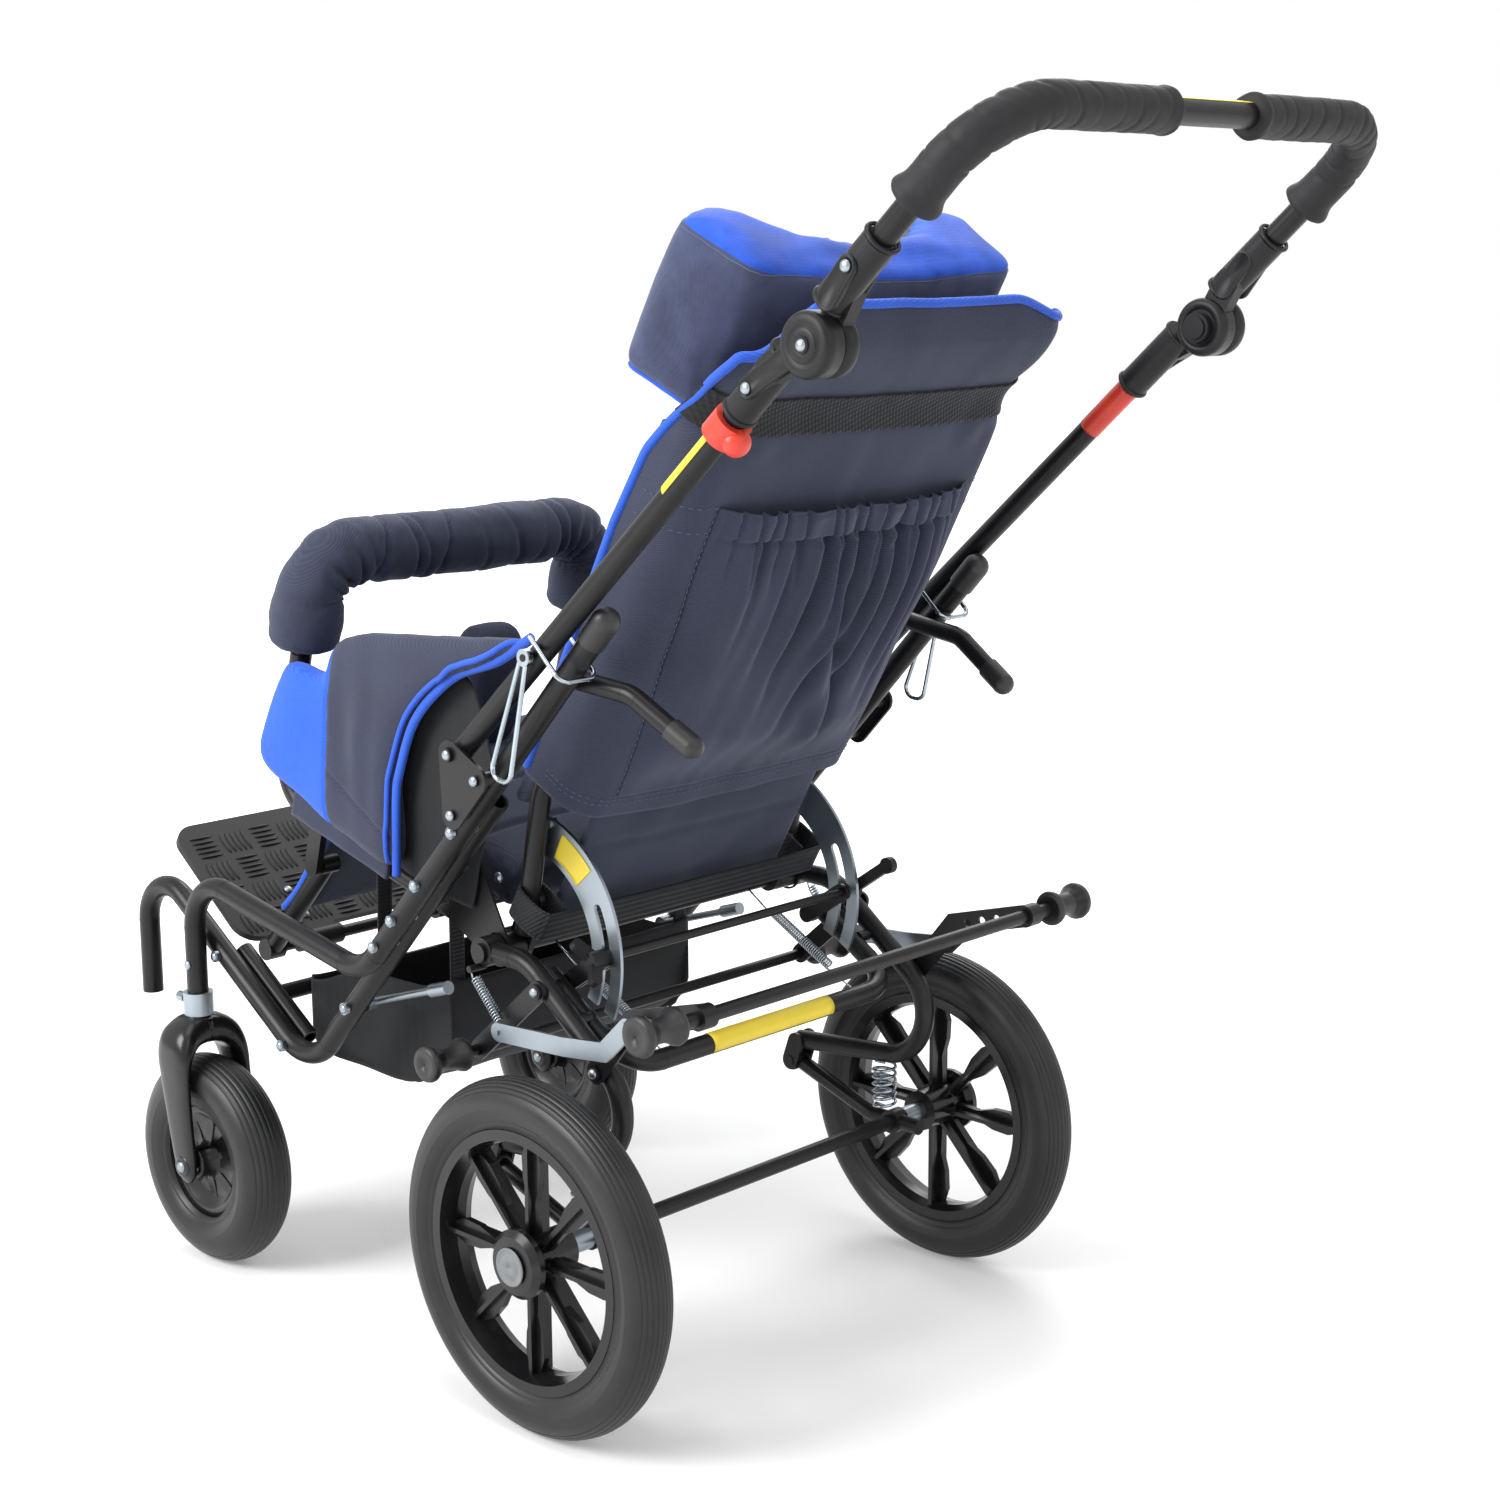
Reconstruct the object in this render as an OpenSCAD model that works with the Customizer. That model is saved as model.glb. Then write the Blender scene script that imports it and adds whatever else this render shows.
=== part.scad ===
// Special needs buggy: tubular frame on sprung rear wheels and swivel casters, with a folding push
// bar, an adjustable handle, a reclining padded seat, a safety bumper, a leg rest and a footplate.
// Millimetres. X across (occupant's left is +X), -Y forward, Z up, floor at Z = 0.

/* [Wheels] */
// Radius of the rear wheels
rear_r = 150; // [146:1:154]
// Distance between the middles of the rear tyres
rear_track = 512; // [510:1:522]
// Width of the rear tyres
rear_tyre_w = 42; // [36:1:44]
// Radius of the front casters
caster_r = 101; // [94:1:102]
// Width of the caster tyres
caster_w = 52; // [46:1:53]
// Distance the caster axle trails its stem
caster_trail = 18; // [14:1:22]

/* [Frame] */
// Distance between the two side tubes
side_track = 448; // [446:1:454]
// Diameter of the side and inner tubes
tube_d = 20; // [18:0.5:20]
// Wall of the frame tubes
tube_wall = 2; // [1.5:0.1:2.5]
// Height of the common pivot above the rear axle
pivot_rise = 219; // [215:1:223]
// Distance from the common pivot back to the rear axle
axle_back = 127; // [124:1:129]
// Place of the common pivot along the floor, which centres the part
pivot_y = -32.65; // [-40:0.05:-20]

/* [Push bar] */
// Slope of the push tubes
push_angle = 42.1; // [42:0.1:44]
// Distance from the fold pivot to the elbow
push_length = 516; // [500:1:530]
// Distance from the elbow to the handle bar
handle_length = 213.6; // [200:0.1:225]
// Diameter of the foam grips
grip_d = 32; // [28:1:35]

/* [Seat] */
// Width of the seat cushion
seat_width = 310; // [304:1:312]
// Depth of the seat cushion
seat_depth = 298; // [292:1:300]
// Backward tilt of the seat
seat_tilt = 15.4; // [14.8:0.1:16]
// Thickness of the cushion at its edge
cushion_edge = 35; // [28:1:37]
// Crown of the cushion
cushion_crown = 12; // [8:1:13]
// Height of the bumper bar above the seat rails
bumper_height = 234; // [228:1:242]
// Diameter of the bumper padding
bumper_d = 68; // [58:1:68]

/* [Back] */
// Lean of the backrest from upright
back_lean = 29.5; // [29:0.1:30]
// Height of the back cover
back_height = 620; // [610:1:640]
// Reach of the headrest wings in front of the back pad
headrest_wing = 54; // [44:1:58]

/* [Leg rest] */
// Width of the footplate
foot_width = 330; // [300:1:334]
// Depth of the footplate
foot_depth = 165; // [150:1:170]
// Upward tilt of the footplate
foot_tilt = 37; // [35:1:39]

/* [Fits] */
// Radial clearance of the pins and slides
running = 0.05; // [0.03:0.01:0.08]
// Air between neighbouring pieces
air = 0.3; // [0.25:0.05:0.4]

/* [Hidden] */
$fn = 32;

black = [0.08, 0.08, 0.09];
zinc = [0.72, 0.76, 0.79];
rubber = [0.05, 0.05, 0.05];
navy = [0.2, 0.22, 0.29];
red = [0.9, 0.26, 0.2];

pivot_z = rear_r + pivot_rise;
tube_r = tube_d / 2;
leg_r = 9;
wire_r = 2;
cap_wall = 1.2;
cap_r = tube_d / 2 + air + cap_wall;
band = 1;
band_rise = 0.15;

// Side tubes: cap, lower bend, front bend and caster stem, measured from the common pivot
side_x = side_track / 2;
side_top = [side_x, 188, 302.6];
side_low = [side_x, -129, -38];
side_front = [side_x, -388, 9];
stem_end = [side_x, -388, -107];
side_angle = atan2(side_top.z - side_low.z, side_top.y - side_low.y);

// Inner tubes beside them, with the open front ends
inner_x = side_x - tube_d - 3.5;
inner_top = [inner_x, 29, 136];
inner_low = [inner_x, -244, -158];
inner_front = [inner_x, -502, 12];
inner_end = [inner_x, -502, -135];

// Push bar fold pivot and elbow
fold_y = 26;
fold_z = 181;
push_x = side_x + 12;
push_r = 9.5;
pin_r = 4;
plate_x = push_x + 10.2;
elbow_z = -14.7;
elbow_r = 22;
button_r = 12;
bar_y = push_length + handle_length;

// Seat rails, rear legs and the pieces between them
rail_x = seat_width / 2 + 13;
rail_r = 10;
hinge_r = 8;
eye_pin_r = 6;
leg_x = rail_x + 22;
post_y = -328;
post_top = 140;
cushion_w = 12 + air;
cushion_back = 22;
u_x = rail_x - 3;
lever_x = leg_x + leg_r + 0.6;
strip_x = leg_x + 24;

// Backrest tubes, recline arcs and clamp
back_x = rail_x - 8;
back_tube_y = -36;
back_tube_top = back_height - 97;
arc_x = back_x - 14.5;
slot_r = 101;
slot_half = 4.5;
clamp_angle = 2.8;
clamp_y = slot_r * cos(clamp_angle);
clamp_z = slot_r * sin(clamp_angle);

// Rear legs: foot bar pivot, pedal pivot, swing arm pivot
foot_pivot = [144, -72];
pedal_pivot = [74, -18.4];
swing_pivot = [3, -186];
foot_rod = [269, 2];
pedal_rod = [-3, -85];
wheel_x = rear_track / 2;
arm_r = 7.2;
arm_half = 7.6;
axle_r = 6;

// Leg rest and footplate hinges
leg_pivot = [-291, 18];
foot_hinge = [-384, -82];
hanger_x = 140;
hub_r = leg_r + 0.2;
leg_slope = atan2(leg_pivot.y - foot_hinge.y, leg_pivot.x - foot_hinge.x);

// Casters
caster_y = stem_end.y + caster_trail;
caster_z = caster_r - pivot_z;
fork_in = caster_w / 2 + 2.5;
flange_z = stem_end.z - 28;

function unit(v) = v / norm(v);
function lerp(a, b, t) = a + (b - a) * t;
function run(p, i) = unit(p[i + 1] - p[i]);
function trim(p, bends, i) =
    i == 0 || i == len(p) - 1 ? 0 : bends[i - 1] * tan(acos(run(p, i - 1) * run(p, i)) / 2);
function on_side(y) = side_low.z + (y - side_low.y) * tan(side_angle);
function on_inner(y) = lerp(inner_low.z, inner_top.z, (y - inner_low.y) / (inner_top.y - inner_low.y));
function flip(p) = [-p.x, p.y, p.z];
function polar(r, a) = [r * cos(a), r * sin(a)];

// Frames of reference
module at_pivot() translate([0, pivot_y, pivot_z]) children();
module seat_space() at_pivot() rotate([-seat_tilt, 0, 0]) children();
module back_space() at_pivot() rotate([-back_lean, 0, 0]) children();
module push_space() at_pivot() translate([0, fold_y, fold_z]) rotate([push_angle, 0, 0]) children();
module side_space() at_pivot() translate([0, side_top.y, side_top.z]) rotate([side_angle, 0, 0]) children();
module leg_space() at_pivot() translate([0, leg_pivot.x, leg_pivot.y]) rotate([leg_slope - 90, 0, 0])
    children();
module foot_space() at_pivot() translate([0, foot_hinge.x, foot_hinge.y]) rotate([-foot_tilt, 0, 0])
    children();

module both() { children(); mirror([1, 0, 0]) children(); }
module right() mirror([1, 0, 0]) children();

// Plate with its outline in Y and Z, between two X planes
module slab(x0, x1) translate([x0, 0, 0]) rotate([90, 0, 90]) linear_extrude(x1 - x0) children();
// Round bar across the part
module cross_rod(p, r, x0, x1) translate([x0, p.x, p.y]) rotate([0, 90, 0]) cylinder(r = r, h = x1 - x0);
function arc(c, r, a0, a1, n = 10) = [for (k = [0 : n]) c + polar(r, a0 + (a1 - a0) * k / n)];
function heading(a, b) = atan2(b.y - a.y, b.x - a.x);
function aside(a, b) = polar(1, heading(a, b) + 90);
function mitre(p, i, s) =
    let (u = aside(p[i - 1], p[i]), v = aside(p[i], p[i + 1])) p[i] + (u + v) * s / (1 + u * v);
// Outline of a strap of half width r along the points p, with round ends
module strap(p, r) {
    last = len(p) - 1;
    start = heading(p[0], p[1]);
    end = heading(p[last - 1], p[last]);
    polygon(concat(arc(p[0], r, start + 90, start + 270), [for (i = [1 : 1 : last - 1]) mitre(p, i, -r)],
        arc(p[last], r, end - 90, end + 90), [for (i = [last - 1 : -1 : 1]) mitre(p, i, r)]));
}
module link(a, b, r) strap([a, b], r);
// Plate with three round corners, given anticlockwise
module tri_plate(p, r) polygon([for (i = [0 : 2])
    let (a0 = heading(p[(i + 2) % 3], p[i]) - 90, a1 = heading(p[i], p[(i + 1) % 3]) - 90)
    each arc(p[i], r, a0, a1 < a0 ? a1 + 360 : a1)]);

module along(a, b) {
    d = b - a;
    translate(a) rotate([0, acos(d.z / norm(d)), atan2(d.y, d.x)]) children();
}
module ring_profile(r, wall) difference() { circle(r); if (wall > 0) circle(r - wall); }
module straight(a, b, r, wall) along(a, b) linear_extrude(norm(b - a)) ring_profile(r, wall);
module elbow(p, u, v, bend, r, wall) {
    turn = acos(u * v);
    n = unit(v - u * (u * v));
    c = p - u * bend * tan(turn / 2) + n * bend;
    z = cross(-n, u);
    multmatrix([[-n.x, u.x, z.x, c.x], [-n.y, u.y, z.y, c.y], [-n.z, u.z, z.z, c.z], [0, 0, 0, 1]])
        rotate_extrude(angle = turn) translate([bend, 0]) ring_profile(r, wall);
}
// Bent tube through the points p, or a solid bar when the wall is 0. A thin band at each end of a bend
// joins the bend to its straight runs
module bent(p, bends, r, wall = tube_wall) {
    last = len(p) - 1;
    for (i = [0 : last - 1])
        straight(p[i] + run(p, i) * (i > 0 ? trim(p, bends, i) + band / 2 : 0),
            p[i + 1] - run(p, i) * (i < last - 1 ? trim(p, bends, i + 1) + band / 2 : 0), r, wall);
    for (i = [1 : last - 1]) {
        u = run(p, i - 1);
        v = run(p, i);
        elbow(p[i], u, v, bends[i - 1], r, wall);
        for (e = [[p[i] - u * trim(p, bends, i), u], [p[i] + v * trim(p, bends, i), v]])
            straight(e[0] - e[1] * band, e[0] + e[1] * band, r + band_rise,
                wall > 0 ? wall + 2 * band_rise : 0);
    }
}

// Sewn cushion: crowned top with drawn-in sides and channels across it, flat below
module pillow(a, b, t, crown, n, m, channels = [], pull = 0.025) {
    function u(i) = 2 * i / n - 1;
    function v(j) = 2 * j / m - 1;
    function dip(y) = len([for (c = channels) if (abs(y - c) < 0.8 / m) c]) > 0 ? 5 : 0;
    function place(i, j) = [a * u(i) * (1 - pull * (1 - v(j) * v(j))),
        b * v(j) * (1 - pull * (1 - u(i) * u(i)))];
    function rise(i, j) = t + (1 - pow(u(i), 4)) * (crown * (1 - pow(v(j), 4)) - dip(v(j)));
    w = n + 1;
    k = w * (m + 1);
    top = [for (j = [0 : m]) for (i = [0 : n]) [place(i, j).x, place(i, j).y, rise(i, j)]];
    base = [for (j = [0 : m]) for (i = [0 : n]) [place(i, j).x, place(i, j).y, 0]];
    rim = [for (i = [0 : n - 1]) i, for (j = [0 : m - 1]) j * w + n,
        for (i = [n : -1 : 1]) m * w + i, for (j = [m : -1 : 1]) j * w];
    faces = [
        for (j = [0 : m - 1]) for (i = [0 : n - 1]) let (q = j * w + i)
            each [[q, q + w, q + w + 1], [q, q + w + 1, q + 1],
                [k + q, k + q + w + 1, k + q + w], [k + q, k + q + 1, k + q + w + 1]],
        for (e = [0 : len(rim) - 1]) let (p = rim[e], q = rim[(e + 1) % len(rim)])
            each [[p, q, q + k], [p, q + k, p + k]]];
    polyhedron(concat(top, base), faces, convexity = 6);
}

// Skin through rings of points of one even length. Each end is closed by a fan about a point, or by a
// strip between the first half of its ring and the second
module loft(rings, ends = []) {
    n = len(rings[0]);
    last = (len(rings) - 1) * n;
    skin = [for (k = [0 : len(rings) - 2]) for (i = [0 : n - 1]) let (p = k * n + i, q = k * n + (i + 1) % n)
        each [[p, p + n, q + n], [p, q + n, q]]];
    fan = [for (i = [0 : n - 1]) let (q = (i + 1) % n)
        each [[i, q, last + n], [last + q, last + i, last + n + 1]]];
    strip = [for (i = [0 : n / 2 - 2]) let (a = i, b = i + 1, c = n - 2 - i, d = n - 1 - i)
        each [[a, b, c], [a, c, d], [last + c, last + b, last + a], [last + d, last + c, last + a]]];
    polyhedron(concat([for (r = rings) each r], ends), concat(skin, len(ends) > 0 ? fan : strip),
        convexity = 8);
}

// Outline with every corner softened
function soften(p, cut, n = 3) = [for (i = [0 : len(p) - 1])
    let (c = p[i], a = p[(i + len(p) - 1) % len(p)], b = p[(i + 1) % len(p)],
        s = c + unit(a - c) * min(cut, norm(a - c) * 0.45),
        e = c + unit(b - c) * min(cut, norm(b - c) * 0.45))
    for (k = [0 : n]) let (t = k / n) s * (1 - t) * (1 - t) + c * 2 * t * (1 - t) + e * t * t];

// Padded panel with an outline, thick in Z and crowned on both faces
module padded_panel(outline, centre, thick, crown) {
    steps = [[0.45, 0], [0.85, crown * 0.2], [0.97, crown * 0.6], [1, crown], [1, thick - crown],
        [0.97, thick - crown * 0.6], [0.85, thick - crown * 0.2], [0.45, thick]];
    loft([for (s = steps) [for (p = outline) let (q = centre + (p - centre) * s[0]) [q.x, q.y, s[1]]]],
        [[centre.x, centre.y, 0], [centre.x, centre.y, thick]]);
}

// Coil spring along Z, one unbroken tube with a straight tail at each end
module coil(r, wire, length, turns, tail) {
    n = turns * 8;
    path = concat([[r, 0, -tail]], [for (i = [0 : n]) [r * cos(i * 45), r * sin(i * 45), length * i / n]],
        [[r, 0, length + tail]]);
    last = len(path) - 1;
    rings = [for (i = [0 : last])
        let (c = path[i], t = unit(path[min(i + 1, last)] - path[max(i - 1, 0)]), a = unit([c.x, c.y, 0]),
            b = cross(t, a))
        [for (k = [0 : 5]) c + (a * cos(k * 60) + b * sin(k * 60)) * wire]];
    echo(coil_gap = length / turns - 2 * wire);
    loft(rings);
}

// Front frame

module side_tubes() color(black) at_pivot() both()
    bent([side_top, side_low, side_front, stem_end], [50, 45], tube_r);

module inner_tubes() color(black) at_pivot() both()
    bent([inner_top, inner_low, inner_front, inner_end], [50, 40], tube_r);

module tube_caps() color(rubber) {
    side_space() both() translate([side_x, 0, 0]) rotate([-90, 0, 0]) rotate_extrude() {
        translate([cap_r - cap_wall, -24]) square([cap_wall, 24.5]);
        translate([0, 0.3]) intersection() { circle(cap_r); square(40); }
    }
    at_pivot() both() along(tip_path[1], tip_path[2]) translate([0, 0, norm(tip_path[2] - tip_path[1])])
        rotate_extrude() {
            translate([8 + air, -22]) square([1.4, 22.5]);
            translate([0, 0.3]) intersection() { circle(9.4 + air); square(40); }
        }
}

tip_path = [[side_x - 17.4, 128, 250], [side_x - 24, 190, 243], [side_x - 33, 246, 208.5]];
module tip_levers() color(black) at_pivot() both() bent(tip_path, [30], 8);

// Fold plate with the push bar's pin and two riveted bosses that reach the side tube
rivets = [[59, on_side(59)], [28.5, on_side(28.5)]];
module gusset_plates() color(black) at_pivot() both() {
    slab(plate_x, plate_x + 3) tri_plate([[fold_y, fold_z], rivets[1], rivets[0]], 12);
    cross_rod([fold_y, fold_z], pin_r, push_x - 10.5, plate_x + 1);
    for (p = rivets) {
        cross_rod(p, 6, side_x + tube_r + air, plate_x + 1);
        cross_rod(p, 4, plate_x + 2, plate_x + 5);
    }
    cross_rod([fold_y, fold_z], 6, plate_x + 2, plate_x + 6);
}

// Short tubes bolted along the inner tubes and the bar that joins them in front of the basket
cross_bar = [-322, -106.6];
module lower_cross_frame() color(black) at_pivot() {
    both() straight([inner_x - 19.5, -273, -139], [inner_x - 19.5, -373, -73], leg_r, tube_wall);
    cross_rod(cross_bar, 8, 19.5 - inner_x, inner_x - 19.5);
}

// Seat rails with bumper posts, cross tubes, hinge pins and the leg rest brackets
module seat_frame() color(black) {
    seat_space() {
        both() bent([[rail_x, 2, 0], [rail_x, post_y, 0], [rail_x, post_y, post_top]], [40], rail_r,
            rail_r - 8 - running);
        for (y = [-110, -215]) cross_rod([y, 4], 8, -rail_x + 3, rail_x - 3);
        both() slab(rail_x - 16, rail_x - 9) link([-285.3, -3], [-285.3, -59.9], 9);
    }
    at_pivot() {
        cross_rod([0, 0], hinge_r, -rail_x, rail_x);
        both() {
            cross_rod([0, 0], 13, rail_x - 10.2, rail_x + 10.2);
            cross_rod([0, 0], eye_pin_r, rail_x, leg_x + 11);
            cross_rod([0, 0], 8, leg_x + leg_r + 0.5, leg_x + leg_r + 3.5);
            cross_rod(leg_pivot, 5, hanger_x - 10, rail_x - 10);
        }
    }
}

module side_plates() color(black) at_pivot() both() difference() {
    slab(rail_x + 10.4, rail_x + 12.4) tri_plate([[0, 0], [-36, on_inner(-36)], [-66, on_inner(-66)]], 16);
    cross_rod([0, 0], 14, rail_x, rail_x + 14);
}

module lock_strut() {
    a = [rail_x + 14, -174, on_inner(-174)];
    b = [rail_x + 14, -88, -55];
    straight(a, b, 3.5, 0);
    along(a, b) translate([0, 0, norm(b - a)]) cylinder(r = 6, h = 24);
    cross_rod([a.y, a.z], 7, rail_x + 11, inner_x - tube_r - air);
}

// Bolts, spacers and washers of the front frame
module frame_fasteners() color(zinc) at_pivot() both() {
    lock_strut();
    for (y = [10, -40, -74, -100]) {
        cross_rod([y, on_side(y) + 2], 6, inner_x + tube_r + air, side_x - tube_r - air);
        cross_rod([y, on_side(y)], 5, side_x + tube_r + air, side_x + tube_r + 3.5);
    }
    for (y = [-66, -36])
        cross_rod([y, on_inner(y)], 6, rail_x + 12.6 + air, inner_x - tube_r - air);
    for (y = [-174, -273, -373]) {
        z = y > -200 ? on_inner(y) : lerp(-139, -73, (y + 273) / -100);
        cross_rod([y, z], 5.5, inner_x + tube_r + air, inner_x + tube_r + 4);
    }
}

// Swivel housings that plug into the caster stems
module swivel_collars() color(zinc) at_pivot() both() difference() {
    translate([side_x, stem_end.y, 0]) {
        translate([0, 0, stem_end.z - 22]) cylinder(r = 14, h = 22 - air);
        translate([0, 0, stem_end.z - 1]) cylinder(r = tube_r - tube_wall - air, h = 20);
    }
    translate([side_x, stem_end.y, stem_end.z - 30]) cylinder(r = eye_pin_r + running, h = 60);
    translate([side_x, stem_end.y, stem_end.z - 11]) rotate([90, 0, 0]) cylinder(r = 3 + running, h = 20);
}

// Seat cushion with channels, and the knee block that stands on it
module seat_cushion() color(navy) seat_space() {
    translate([0, -cushion_back - seat_depth / 2, cushion_w])
        pillow(seat_width / 2, seat_depth / 2, cushion_edge, cushion_crown, 12, 12, [-0.5, 0, 0.5]);
    knee_block();
}

block = [[-286, 0], [-238, 0], [-234, 45], [-246, 118], [-278, 118], [-292, 55]];
module knee_block() translate([-36, 0, cushion_w + cushion_edge + cushion_crown * 0.8 + 0.4])
    rotate([90, 0, 90]) padded_panel(soften(block, 16), [-262, 58], 72, 16);

// Padded sides of the seat
wing = [[-336, 30], [-332, 139], [-277, 139], [-270, 180], [-217, 211], [-80, 262], [-2, 287], [-40, 249],
    [-89, 216], [-128, 163], [-138, 82], [-122, 14], [-185, 14]];
module side_wings() color(navy) seat_space() both() {
    translate([rail_x + 13, 0, 0]) rotate([90, 0, 90])
        padded_panel(turned(soften(wing, 18, 2)), [-215, 140], 26, 7);
    translate([rail_x + rail_r + air, -296, -6]) cube([11, 146, 50]);
}

// Cloth basket slung under the seat, with its hanging straps
basket = [[-313.5, -97], [-306, -158], [-262, -168], [-160, -166], [-114, -140], [-100, -62]];
module basket_net() color(navy) at_pivot() difference() {
    half = seat_width / 2 - 5;
    union() {
        slab(-half, half) polygon(concat(basket, [[-110, -55], [-220, -70]]));
        both() {
            slab(half - 20, half - 2) polygon([[-112, -70], [-100, -70], [-102, 24.7], [-108, 24.7]]);
            slab(half - 20, half - 2) polygon([[-216, -75], [-204, -75], [-203, 52.6], [-209.4, 52.6]]);
        }
    }
    slab(2.5 - half, half - 2.5) polygon([[-311, -96], [-303.5, -156], [-262, -165.4], [-161, -163.4],
        [-116, -138.4], [-102.6, -62], [-104, -30], [-320, -30]]);
    both() slab(half - 30, half + 1) polygon([[-219, -72], [-330, -96], [-330, -20], [-219, -20]]);
}

// Push bar

module push_tubes() color(black) push_space() both() difference() {
    union() {
        straight([push_x, -14, 0], [push_x, push_length - 26, 0], push_r, tube_wall);
        straight([push_x, -13, 0], [push_x, 36, 0], push_r - tube_wall / 2, 0);
        cross_rod([135, 0], 3, push_x + 8, push_x + 19);
    }
    cross_rod([0, 0], pin_r + running, push_x - 20, push_x + 20);
}

// Lower halves of the handle joints, with the joint bolts
module elbow_sockets() color(black) push_space() both() {
    difference() {
        union() {
            straight([push_x, push_length - 91, 0], [push_x, push_length - 24.5, 0], 13, 0);
            cross_rod([push_length, elbow_z], elbow_r, push_x, push_x + 16);
            slab(push_x, push_x + 12) link([push_length - 40, -2], [push_length, elbow_z], 11);
        }
        straight([push_x, push_length - 95, 0], [push_x, push_length - 25.5, 0], push_r + air, 0);
    }
    cross_rod([push_length, elbow_z], pin_r, push_x - 5, push_x + 2);
    cross_rod([push_length, elbow_z], 6, push_x + 15, push_x + 19);
    cross_rod([push_length - 62, 0], 4.5, push_x + 12, push_x + 15);
}

// Clip-on rear light of the left push tube
module clip_light() color(red) push_space() translate([push_x, push_length - 116, 0]) difference() {
    union() {
        rotate([-90, 0, 0]) cylinder(r = 15, h = 20);
        translate([0, 10, -13]) sphere(11);
    }
    translate([0, -10, 0]) rotate([-90, 0, 0]) cylinder(r = push_r + air, h = 40);
}

// Handle

module handle_bar() color(black) push_space() {
    a = [push_x, push_length + 29, 0];
    b = [push_x, bar_y, 0];
    bent([a, b, flip(b), flip(a)], [60, 60], push_r);
}

module handle_grips() color(rubber) push_space() both() {
    bent([[push_x, bar_y - 90, 0], [push_x, bar_y, 0], [50, bar_y, 0]], [60], grip_d / 2,
        grip_d / 2 - push_r - air);
    translate([push_x, bar_y - 90, 0]) rotate([-90, 0, 0]) rotate_extrude()
        polygon([[push_r + air, 0], [grip_d / 2 + 3, 0], [grip_d / 2 + 2, 8], [grip_d / 2, 14],
            [push_r + air, 14]]);
}

module elbow_knuckles() color(black) push_space() both() difference() {
    union() {
        straight([push_x, push_length + 24.5, 0], [push_x, push_length + 86, 0], 13, 0);
        cross_rod([push_length, elbow_z], elbow_r, push_x - 16.3, push_x - air);
        slab(push_x - 12, push_x - air) link([push_length + 40, -2], [push_length, elbow_z], 11);
    }
    straight([push_x, push_length + 26, 0], [push_x, push_length + 90, 0], push_r + air, 0);
    cross_rod([push_length, elbow_z], pin_r + running, push_x - 20, push_x + 1);
    cross_rod([push_length, elbow_z], button_r + running, push_x - 20, push_x - 6.3);
}

module elbow_button() color(rubber) push_space() {
    cross_rod([push_length, elbow_z], button_r, push_x - 23, push_x - 13);
    cross_rod([push_length, elbow_z], button_r - 3, push_x - 25, push_x - 22);
}
module elbow_button_left() elbow_button();
module elbow_button_right() right() elbow_button();

// Wire hook that holds the push tube to the side tube
module lock_ring() color(zinc) side_space() {
    hook = cap_r + wire_r + 0.5;
    a = [side_x - hook, -52, 34];
    b = [push_x + push_r + wire_r + 0.5, -52, 34];
    bent([a, [a.x, a.y, -hook], [b.x, b.y, -hook], b], [9, 9], wire_r, 0);
}
module lock_ring_left() lock_ring();
module lock_ring_right() right() lock_ring();

// Wire stirrup on the push tube
module stirrup() color(zinc) push_space() difference() {
    x = push_x + 16;
    union() {
        bent([[x, 131.5, -4.5], [x, 50, -62], [x, 34, -44], [x, 130, 2.5]], [9, 9], wire_r, 0);
        cross_rod([135, 0], 7, x - 2.5, x + 2.5);
    }
    cross_rod([135, 0], 3 + running, x - 4, x + 4);
}
module stirrup_left() stirrup();
module stirrup_right() right() stirrup();

// Backrest

module backrest_tube() color(black) back_space() difference() {
    a = [back_x, 5.5, 17];
    b = [back_x, back_tube_y, 140];
    c = [back_x, back_tube_y, back_tube_top];
    union() {
        bent([a, b, c, flip(c), flip(b), flip(a)], [60, 60, 60, 60], leg_r);
        both() straight(lerp(a, b, 0.01), lerp(a, b, 0.5), leg_r - tube_wall / 2, 0);
        both() slab(back_x - 9, back_x - 3) link([0, 0], [-4, 42], 13);
    }
    cross_rod([0, 0], hinge_r + running, -back_x, back_x);
}

// Slotted recline arcs, open at the lower end of the slot
module recline_arcs() color(zinc) at_pivot() both() difference() {
    union() {
        slab(arc_x, arc_x + 3) difference() {
            arc_band(slot_r - 17, slot_r + 17, -24, 82);
            arc_band(slot_r - slot_half, slot_r + slot_half, -30, 26);
            translate(polar(slot_r, 26)) circle(slot_half - 0.3);
        }
        cross_rod([32, 108], 4.5, arc_x - 4, arc_x + 5.2);
    }
}
module arc_band(r0, r1, a0, a1) intersection() {
    difference() { circle(r1, $fn = 96); circle(r0, $fn = 96); }
    polygon([[0, 0], for (k = [0 : 3]) polar(400, a0 + (a1 - a0) * k / 3)]);
}

// Cloth cover stretched over the back tubes: rear panel, side walls, and the bulge of the pocket
cover_low = 150;
cover_mid = 330;
shoulder = lerp(cover_mid, back_height, 0.638);
pocket_low = cover_low + 15;
pocket_top = lerp(cover_mid, back_height, 0.431);
function cover_half(z) = lerp(rail_x + 4, rail_x + 22, (z - cover_low) / (back_height - cover_low));
function cover_rear(z) = z < shoulder ? lerp(20, 12, max(0, z - cover_mid) / (shoulder - cover_mid))
    : lerp(12, 0, (z - shoulder) / (back_height - shoulder));
function pocket(z, t) = abs(t) > 0.68 || z < pocket_low || z > pocket_top ? 0
    : 15 * (1 - pow(t / 0.68, 4)) * sin(180 * (z - pocket_low) / (pocket_top - pocket_low));
function cover_y(z, t) = cover_rear(z) + pocket(z, t) - 26 * pow(abs(t), 8);
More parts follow.
